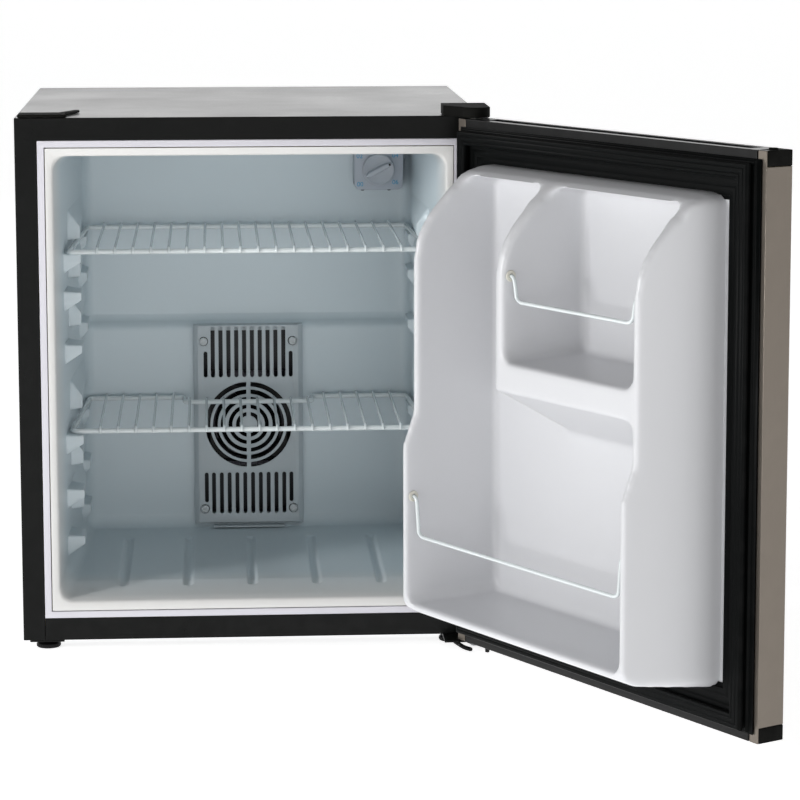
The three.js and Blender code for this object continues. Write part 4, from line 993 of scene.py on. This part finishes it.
def fan_cover():
    """The slotted plate over the inner fan, with its sloped skirt and lower tab."""
    mesh = outline_curve("fan_cover_plate", cover_outlines(), 1.0, 0.3)
    mesh.transform(Matrix.Translation((0, (COVER_FRONT + 0.8) * MM, 0)))
    bm = in_millimetres(mesh)
    bpy.data.meshes.remove(mesh)
    bmesh.ops.remove_doubles(bm, verts=bm.verts, dist=0.001)
    slope = COVER_HALF - COVER_FACE - 4
    skirt = eased([(0, COVER_FRONT), (slope, COVER_FRONT + 5), (slope, COVER_FOOT),
                   (slope - 1.6, COVER_FOOT), (slope - 1.6, COVER_FRONT + 6), (-0.6, COVER_FRONT + 1.6)],
                  0.5, 2)
    # the slope is wide at the sides and short at the top and bottom
    sides = bmesh.new()
    swept_frame(sides, [tuple(p) for p in skirt], COVER_FACE + 4, (COVER_Z[0] + slope, COVER_Z[1] - slope))
    for vert in sides.verts:
        for level, way in ((COVER_Z[0], 1), (COVER_Z[1], -1)):
            gone = (vert.co.z - level) * way
            if gone < slope + 2:
                vert.co.z = level + way * gone * (2.0 if way > 0 else 1.0) / slope
    outward(sides)
    spare = bpy.data.meshes.new("skirt")
    sides.to_mesh(spare)
    sides.free()
    bm.from_mesh(spare)
    bpy.data.meshes.remove(spare)
    tab = block(bm, (-37, 37), (COVER_FRONT - 8, COVER_FRONT + 4), (COVER_Z[0] - 2.2, COVER_Z[0] - 0.8))
    rounded(bm, [edge for edge in bm.edges if all(vert in tab for vert in edge.verts)], 0.5)
    made = piece("fan_cover_grille", bm, LOOKS["grille_plastic"], 40)
    settle(made, "cabinet", "fan_cover")


def cover_screws():
    """Pan-headed screws with a cross recess, each standing in its well in the cover."""
    for number in range(1, 5):
        node = f"fan_cover_screw_{number}"
        low, high = edges_of(node)
        centre = ((low.x + high.x) / 2, 0, (low.z + high.z) / 2)
        top, foot = low.y - 0.2, high.y
        bm = turned(bmesh.new(), [(0, top), (2.2, top + 0.15), (3.5, top + 0.7), (4.2, top + 1.7),
                                  (4.2, top + 2.3), (1.9, top + 2.3), (1.9, foot), (0, foot)],
                    centre, "y", 28)
        made = piece(f"{node}_pan", tidy_poles(bm), LOOKS["screw_cap_plastic"], 40)
        arm, half = 2.3, 0.5
        star = [(arm, -half), (arm, half), (half, half), (half, arm), (-half, arm), (-half, half),
                (-arm, half), (-arm, -half), (-half, -half), (-half, -arm), (half, -arm), (half, -half)]
        cross = bmesh.new()
        ends = [[cross.verts.new((x, y, z)) for x, z in star] for y in (top - 1, top + 1.3)]
        capped(cross, ends)
        bmesh.ops.rotate(cross, cent=(0, 0, 0), matrix=Matrix.Rotation(0.6 + number, 3, "Y"),
                         verts=cross.verts)
        bmesh.ops.translate(cross, vec=centre, verts=cross.verts)
        tool = piece(f"{node}_cross", cross, LOOKS["screw_cap_plastic"])
        applied(made, ("BOOLEAN", {"operation": "DIFFERENCE", "object": tool, "solver": "EXACT"}))
        discard(tool)
        settle(made, "cabinet", node)


def blade_sheet(bm, hub, tip, middle, chord, side, steps, along):
    """One face of a fan blade: swept forward, twisted and bowed as it goes out from the hub."""
    grid = []
    for i in range(steps + 1):
        radius = hub - 0.8 + (tip - hub + 0.8) * i / steps
        pitch = math.radians(42 - 16 * i / steps)
        row = []
        for j in range(along + 1):
            across = (j / along - 0.5) * chord * (0.8 + 0.35 * i / steps)
            bow = 1.3 * math.cos(math.pi * (j / along - 0.5))
            turn = across * math.cos(pitch) / radius + 0.25 * i / steps
            row.append(bm.verts.new((radius * math.cos(turn), middle + across * math.sin(pitch) * 0.82
                                     + bow * 0.4 + side, FAN_Z + radius * math.sin(turn))))
        grid.append(row)
    return grid


def fan_rotor(node, hub, tip, y, blades, chord):
    """A moulded rotor: a domed hub with swept, twisted blades repeated round it."""
    bm = turned(bmesh.new(), [(0, y[0]), (hub * 0.72, y[0]), (hub * 0.93, y[0] + 0.9), (hub, y[0] + 2.4),
                              (hub, y[1]), (0, y[1])], (0, 0, FAN_Z), "y", 40)
    core = piece(f"{node}_hub", tidy_poles(bm), LOOKS["black_plastic"], 45)
    bm = bmesh.new()
    middle, steps, along = (y[0] + y[1]) / 2, 6, 8
    sheets = [blade_sheet(bm, hub, tip, middle, chord, side, steps, along) for side in (-0.55, 0.55)]
    for grid in sheets:
        for i in range(steps):
            for j in range(along):
                bm.faces.new((grid[i][j], grid[i + 1][j], grid[i + 1][j + 1], grid[i][j + 1]))
    low, high = sheets
    border = [(i, 0) for i in range(steps)] + [(steps, j) for j in range(along)]
    border += [(i, along) for i in range(steps, 0, -1)] + [(0, j) for j in range(along, 0, -1)]
    banded(bm, [([low[i][j] for i, j in border], [high[i][j] for i, j in border])])
    blade = piece(f"{node}_blades", outward(bm), LOOKS["black_plastic"], 60)
    repeated(blade, RING, Count=blades, Centre=(0, middle * MM, FAN_Z * MM), Axis=(0, 1, 0))
    made = joined(core, blade)
    made.name = f"{node}_moulding"
    settle(made, node, node)


def thermostat_knob():
    """A round dial with a raised grip across it, tapering at both ends, and a pointer dot."""
    face = THERMOSTAT_FRONT - 6
    bm = turned(bmesh.new(), [(0, THERMOSTAT_FRONT + 13), (4, THERMOSTAT_FRONT + 13),
                              (4, THERMOSTAT_FRONT - 0.4), (KNOB_R, THERMOSTAT_FRONT - 0.4),
                              (KNOB_R, face + 1.2), (KNOB_R - 0.5, face + 0.3), (KNOB_R - 1.4, face),
                              (KNOB_R - 2.2, face + 0.3), (KNOB_R - 3.0, face + 0.8), (0, face + 0.8)],
                (KNOB_X, 0, KNOB_Z), "y", 64)
    tidy_poles(bm)
    steps, rings = 12, []
    half = KNOB_R - 1.6
    for depth, width in ((face + 1, 3.5), (face - 4.4, 2.6), (face - 5.6, 2.2), (face - 6, 1.4)):
        ring = []
        for i in range(steps):
            t = i / (steps - 1) * 2 - 1
            ring.append((t * (half - (3.5 - width) * 0.6), width * math.sqrt(max(0.05, 1 - abs(t) ** 3))))
        ring += [(a, -b) for a, b in reversed(ring)]
        rings.append([bm.verts.new((a, depth, b)) for a, b in ring])
    grip = [vert for ring in rings for vert in ring]
    bmesh.ops.rotate(bm, cent=(0, 0, 0), matrix=Matrix.Rotation(-KNOB_TILT, 3, "Y"), verts=grip)
    bmesh.ops.translate(bm, vec=(KNOB_X, 0, KNOB_Z), verts=grip)
    made = piece("thermostat_dial", capped(bm, rings), LOOKS["knob_plastic"], 35)
    settle(made, "thermostat_knob", "thermostat_knob")
    reach = KNOB_R - 4.2
    dot = turned(bmesh.new(), [(0, face - 6.2), (1.2, face - 6.1), (1.2, face - 5), (0, face - 5)],
                 (KNOB_X + reach * math.cos(KNOB_TILT), 0, KNOB_Z + reach * math.sin(KNOB_TILT)),
                 "y", 16)
    mark = piece("thermostat_pointer", tidy_poles(dot), BLACK_AND_PAINTED_HOLE_SHADE, 40)
    settle(mark, "thermostat_knob", slot="knob_plastic")


def thermostat_marks():
    """Plain blue digits round the dial, and at each side of the box's lower edge a dark lump as the painted shade
    of a screw hole.
    """
    for number, (x, z) in DIAL_DIGITS:
        data = bpy.data.curves.new(f"digit_{number}", "FONT")
        data.body = number
        data.align_x, data.align_y = "CENTER", "CENTER"
        data.size = DIGIT_SIZE * MM
        data.extrude = 0.12 * MM
        mesh = upright_mesh(f"digit_{number}_text", data)
        mesh.transform(Matrix.Translation(Vector((KNOB_X + x, THERMOSTAT_FRONT - 0.05, KNOB_Z + z)) * MM))
        bm = in_millimetres(mesh)
        bpy.data.meshes.remove(mesh)
        made = piece(f"dial_digit_{number}", closed(bm, 0.001), INK, 30)
        settle(made, "cabinet", slot="thermostat_plastic")
    foot = edges_of("thermostat_housing")[0].z
    # painted shade: a dark lump stands for the shadow inside each screw hole
    for side, x in (("left", -16.5), ("right", 11.0)):
        well = turned(bmesh.new(), [(0, foot - 1.1), (1.4, foot - 0.9), (2.0, foot - 0.2), (1.4, foot + 0.5),
                                    (0, foot + 0.7)], (KNOB_X + x, THERMOSTAT_FRONT + 2.6, 0), "z", 20)
        made = piece(f"thermostat_painted_hole_shade_{side}", tidy_poles(well), BLACK_AND_PAINTED_HOLE_SHADE, 40)
        settle(made, "cabinet", slot="thermostat_plastic")


# ---------------------------------------------------------------- shelves and bars
def wire_shelf(node):
    """A wire shelf: a bent frame wire, and cross wires that curl down over its front rail."""
    size = SHELVES[node]
    front, back, z, notch = size["front"], size["back"], size["z"], size["notch"]
    corners = [(-SHELF_X[0], front, z), (SHELF_X[0], front, z), (SHELF_X[1], back, z)]
    if notch:
        corners += [(NOTCH_X, back, z), (NOTCH_X, back - notch, z), (-NOTCH_X, back - notch, z),
                    (-NOTCH_X, back, z)]
    corners.append((-SHELF_X[1], back, z))
    bm = wire(bmesh.new(), eased(corners, 7, 5), SHELF_WIRE, 12, loop=True)
    made = piece(f"{node}_frame_wire", bm, LOOKS["white_wire"], 60)
    rail = SHELF_WIRE + CROSS_WIRE - 0.5
    top = z + rail
    others = []
    numbers = [i - (CROSS_COUNT - 1) / 2 for i in range(CROSS_COUNT)]
    inside = [n for n in numbers if notch and abs(n * CROSS_PITCH) < NOTCH_X]
    outside = [n for n in numbers if n not in inside]
    banks = [(outside[:len(outside) // 2], back), (outside[len(outside) // 2:], back)]
    banks.append((inside, back - notch))
    for bank, (members, end) in enumerate(banks):
        if not members:
            continue
        x = members[0] * CROSS_PITCH
        route = [Vector((x, front - rail * math.sin(a), z + rail * math.cos(a)))
                 for a in (math.radians(d) for d in (100, 75, 50, 25, 8))]
        route += [Vector((x, front + 4, top)), Vector((x, end - 4, top)), Vector((x, end + 1.6, top))]
        bent = wire(bmesh.new(), route, CROSS_WIRE, 8)
        cross = piece(f"{node}_cross_{bank}", bent, LOOKS["white_wire"], 60)
        repeated(cross, ROW, Count=len(members), Step=(CROSS_PITCH * MM, 0, 0))
        others.append(cross)
    joined(made, *others)
    made.name = f"{node}_wires"
    settle(made, node, node)


def bottle_bar(level):
    """A drop-shaped bar: two ends in their eyelets and a long low run between them."""
    bar = BARS[level]
    y, z, (left, right) = bar["y"], bar["z"], bar["x"]
    low = z - bar["drop"]
    route = [(left - 3.6, y, z), (left + 3.6, y, z), (left + 6.4, y, z - 4), (left + 9.5, y, low + 3),
             (left + 15, y, low), (right - 15, y, low), (right - 9.5, y, low + 3),
             (right - 6.4, y, z - 4), (right - 3.6, y, z), (right + 3.6, y, z)]
    bm = wire(bmesh.new(), eased(route, 4, 4, loop=False), BAR, 12)
    made = swung(piece(f"{level}_bar_wire", bm, LOOKS["white_wire"], 60))
    settle(made, f"{level}_bottle_bar", f"{level}_bottle_bar")
    for side, wall, way in (("free_side", left, -1), ("hinge_side", right, 1)):
        profile = [(2.2, 0.6 - 2.2), (4.6, 0.6 - 2.2), (5, -1.2), (5, -0.6), (3.4, -0.6), (3.4, 5),
                   (2.2, 5), (2.2, 0.6 - 2.2)]
        ring = turned(bmesh.new(), [(r, wall + way * a) for r, a in profile], (0, y, z), "x", 28)
        name = f"{level}_eyelet_{side}"
        eyelet = swung(piece(f"{name}_ring", closed(ring, 0.001), LOOKS[SLOT_OF[name]], 30))
        settle(eyelet, "door", name)


# ---------------------------------------------------------------- door
def loft(bm, sections, steps=8):
    """A closed tube of rounded rectangles, each (y, x range, z range, radius)."""
    rings = []
    for y, x, z, r in sections:
        ring = []
        for cx, cz, start in ((x[1] - r, z[0] + r, -90), (x[1] - r, z[1] - r, 0),
                              (x[0] + r, z[1] - r, 90), (x[0] + r, z[0] + r, 180)):
            for i in range(steps + 1):
                a = math.radians(start + 90 * i / steps)
                ring.append(bm.verts.new((cx + r * math.cos(a), y, cz + r * math.sin(a))))
        rings.append(ring)
    return capped(bm, rings)


def rack_hollow(name, x, z, grow):
    """One rack's hollow, wider at its mouth by grow (left, right, below, above)."""
    left, right, below, above = grow
    return piece(name, loft(bmesh.new(), [
        (RACK_BASE, x, z, 11),
        (RIM_LOW + 6, (x[0] - left, x[1] + right), (z[0] - below, z[1] + above), 11)]),
        LOOKS["door_liner_plastic"])


def door_liner():
    """The door's inner moulding: a tall bottle bay, a pocket and a wide low rack."""
    back = DOOR_IN - 9
    profile = [(back, 37), (DOOR_IN, 37)] + [(y, z) for z, y in reversed(RACK_PROFILE)]
    profile += [(DOOR_IN, 461), (back, 461)]
    bm = bmesh.new()
    ends = []
    for way in (-1, 1):
        ends.append([bm.verts.new((way * (RACK_X - 5 * max(0, y - DOOR_IN) / (RIM_LOW - DOOR_IN)), y, z))
                     for y, z in profile])
    blank = piece("door_racks", capped(bm, ends), LOOKS["door_liner_plastic"])
    draft = piece("rack_draft", loft(bmesh.new(), [
        (back - 1, (-RACK_X - 1, RACK_X + 1), (36, 462), 14),
        (RIM_LOW + 2, (-RACK_X + 4, RACK_X - 4), (46, 462), 14)]), LOOKS["door_liner_plastic"])
    reach = RACK_X - 17
    hollows = [
        rack_hollow("tall_bay", (PARTITION_X + 6, reach), (63, 452), (6, 6, 1, 3)),
        rack_hollow("low_rack", (-reach, reach), (63, POCKET_Z - 60), (6, 6, 1, 56)),
        rack_hollow("pocket", (-reach, PARTITION_X - 16), (POCKET_Z + 14, 452), (6, 7, 3, 3))]
    applied(blank, ("BOOLEAN", {"operation": "INTERSECT", "object": draft, "solver": "EXACT"}))
    for hollow in hollows:
        applied(blank, ("BOOLEAN", {"operation": "DIFFERENCE", "object": hollow, "solver": "EXACT"}))
    discard(draft, *hollows)
    applied(blank, ("REMESH", {"mode": "VOXEL", "voxel_size": 3.0 * MM, "use_smooth_shade": True}),
            ("SMOOTH", {"factor": 0.5, "iterations": 9}))
    bm = bmesh.new()
    bm.from_mesh(blank.data)
    cut = bmesh.ops.bisect_plane(bm, geom=bm.verts[:] + bm.edges[:] + bm.faces[:], dist=1e-6,
                                 plane_co=(0, (DOOR_IN - 0.4) * MM, 0), plane_no=(0, -1, 0),
                                 clear_outer=True)
    rims = [item for item in cut["geom_cut"] if isinstance(item, bmesh.types.BMEdge)]
    bmesh.ops.holes_fill(bm, edges=rims, sides=0)
    bm.to_mesh(blank.data)
    bm.free()
    sheet = bmesh.new()
    low, high = edges_of("door_skin")
    block(sheet, (-SHEET_HALF, SHEET_HALF), (DOOR_IN - 1.5, DOOR_IN),
          (low.z + SHEET_MARGIN, high.z - SHEET_MARGIN))
    plate = piece("door_liner_sheet", rounded(sheet, sheet.edges[:], 0.5), LOOKS["door_liner_plastic"])
    joined(blank, plate)
    blank.name = "door_liner_moulding"
    for face in blank.data.polygons:
        face.use_smooth = True
    blank.data.set_sharp_from_angle(angle=math.radians(50))
    settle(swung(blank), "door", "door_liner")


def door_gasket():
    """The ribbed magnetic seal, mitred at its corners."""
    profile = eased([(14.6, -234.6), (14.6, -233.8), (10, -233.2), (9, -231.2), (7.4, -230.8),
                     (6.4, -231.9), (5.2, -230.9), (4, -230.6), (4, -229.3), (7.8, -228.9),
                     (8, -226), (6.8, -223.9), (4.2, -223.7), (3.4, -224.6), (2.6, -223.7),
                     (-0.6, -223.7), (-1.4, -224.6), (-2.2, -223.7), (-4.2, -223.9), (-5, -226),
                     (-5, -229), (-2, -229.4), (-2, -230.6), (-6, -231), (-8, -231.9), (-10, -231),
                     (-13, -231), (-15, -231.9), (-17, -231.1), (-21.5, -231.3), (-22, -233.4),
                     (-25.5, -234.2), (-25.5, -234.6)], 0.6, 2)
    bm = swept_frame(bmesh.new(), [tuple(p) for p in profile], GASKET_X, GASKET_Z, 11.0)
    made = piece("door_seal_ribbed", closed(bm), LOOKS["black_rubber"], 55)
    settle(swung(made), "door", "door_gasket")


# ---------------------------------------------------------------- feet and rear louvres
def levelling_foot(side):
    """A screw foot with a knurled edge; it turns about its own stud."""
    node = f"foot_front_{side}"
    low, high = edges_of(node)
    centre = ((low.x + high.x) / 2, (low.y + high.y) / 2, 0)
    sole, r = low.z, (high.x - low.x) / 2
    bm = turned(bmesh.new(), [(0, sole + 0.6), (r * 0.55, sole + 0.6), (r * 0.6, sole), (r - 1, sole),
                              (r - 0.4, sole + 0.5), (r - 0.4, -5.9), (r - 1, -5.2), (9, -4.4), (4, -4.4),
                              (4, 9), (3.4, 10), (0, 10)], centre, "z", 64)
    tidy_poles(bm)
    body = piece(f"{node}_disc", bm, LOOKS["black_plastic"], 40)
    tooth = bmesh.new()
    block(tooth, (centre[0] + r - 1.2, centre[0] + r), (centre[1] - 0.5, centre[1] + 0.5), (sole + 1, -6.2))
    knurl = piece(f"{node}_knurl", rounded(tooth, tooth.edges[:], 0.25, 1), LOOKS["black_plastic"], 40)
    repeated(knurl, RING, Count=28, Centre=(centre[0] * MM, centre[1] * MM, 0.0), Axis=(0, 0, 1))
    joined(body, knurl)
    body.name = f"{node}_screw_foot"
    settle(body, node, node)


def hinge_nose():
    """The leg that curls down from the bottom bracket, and the stop peg under the door."""
    low, high = edges_of("bottom_hinge_bracket")
    route = [(low.x + 10, low.y + 9, high.z - 1.4), (low.x + 13, low.y + 2, high.z - 2),
             (low.x + 18, low.y - 0.5, high.z - 4.8), (low.x + 24, low.y - 0.8, high.z - 6.6)]
    bm = wire(bmesh.new(), eased(route, 6, 5, loop=False), 2.1, 12)
    made = piece("bottom_hinge_nose", bm, LOOKS["black_steel"], 30)
    settle(made, "cabinet", slot=SLOT_OF["bottom_hinge_bracket"])
    foot = edges_of("door_skin")[0].z
    peg = turned(bmesh.new(), [(0, foot - 4.6), (1.6, foot - 4.6), (2.1, foot - 4.1), (2.1, foot + 2),
                               (0, foot + 2)], (*STOP_PEG, 0), "z", 20)
    stop = swung(piece("door_stop_peg", tidy_poles(peg), LOOKS["black_plastic"], 40))
    settle(stop, "door", slot="black_plastic")


def rear_louvres():
    """Slanted blades behind the openings of the rear cover, a row up each side."""
    back = edges_of("rear_cover")[1].y
    for side, centre in (("left", -32.0), ("right", 32.0)):
        bm = bmesh.new()
        made = block(bm, (centre - 28.5, centre + 28.5), (back - 3.2, back - 2.2), (37, 46))
        bmesh.ops.rotate(bm, cent=(centre, back - 2.6, 40.5), verts=made,
                         matrix=Matrix.Rotation(math.radians(-26), 3, "X"))
        bmesh.ops.translate(bm, vec=(0, -2.4, 0), verts=made)
        blade = piece(f"rear_louvres_{side}", rounded(bm, bm.edges[:], 0.3, 1), LOOKS["black_plastic"], 40)
        repeated(blade, ROW, Count=14, Step=(0, 0, 14 * MM))
        settle(blade, "cabinet", slot="black_plastic")


# ---------------------------------------------------------------- stage
def floor_stage():
    """A wide white floor under the feet."""
    bm = bmesh.new()
    bmesh.ops.create_grid(bm, x_segments=1, y_segments=1, size=30000)
    bmesh.ops.translate(bm, vec=(0, 0, edges_of("foot_rear_left")[0].z), verts=bm.verts)
    look = moulded("studio_white", (0.86, 0.86, 0.86), 0.7, 40.0, 0.0, 0.98, dust=0.0,
                   Emission_Color=(1, 1, 1, 1), Emission_Strength=0.8)
    piece("studio_floor", bm, look)


place_camera()
studio()
floor_stage()

CABINET_BEVELS = {"cabinet_shell": 1.0, "bottom_rail": 0.4, "back_panel": 0.5, "base_plate": 0.3,
                  "rear_rail": 0.3, "top_hinge_bracket": 0.4, "bottom_hinge_bracket": 0.4,
                  "foot_plate": 0.4, "thermostat_housing": 2.6, "rear_housing": 0.6, "rear_cover": 0.7,
                  "cord_gland": 0.5, "foot_rear_left": 0.8, "foot_rear_right": 0.8,
                  "inner_fan_frame": 0.4, "rear_fan_frame": 0.5, "top_hinge_pin": 0.3,
                  "bottom_hinge_pin": 0.4}
for part, bevel in CABINET_BEVELS.items():
    softened(part, "cabinet", bevel)
cover_screws()
for number in (1, 2):
    softened(f"rear_cover_screw_{number}", "cabinet", 0.35)
    softened(f"top_hinge_screw_{number}", "cabinet", 0.3)
softened("top_hinge_cover", "cabinet", 1.6, HINGE_BLACK)
softened("top_left_plug", "cabinet", 0.9, HINGE_BLACK)
softened("door_corner_plug_top", "door", 0.8, HINGE_BLACK)
softened("door_corner_plug_bottom", "door", 0.8, HINGE_BLACK)
for part, bevel in (("door_skin", 0.7), ("door_top_cap", 0.8), ("door_bottom_cap", 0.8),
                    ("top_hinge_bush", 0.3), ("bottom_hinge_bush", 0.3)):
    softened(part, "door", bevel)

inner_liner()
breaker_strip()
fan_cover()
fan_rotor("inner_fan_rotor", 14, 35, (80, 90.6), 9, 24)
fan_rotor("rear_fan_rotor", 18, 41, (181, 200), 7, 24)
thermostat_knob()
thermostat_marks()
for shelf in SHELVES:
    wire_shelf(shelf)
for level in BARS:
    bottle_bar(level)
door_liner()
door_gasket()
levelling_foot("left")
levelling_foot("right")
rear_louvres()
hinge_nose()

for node, made in NODES.items():
    made.data.materials.clear()
    made.data.materials.append(LOOKS[SLOT_OF[node]])
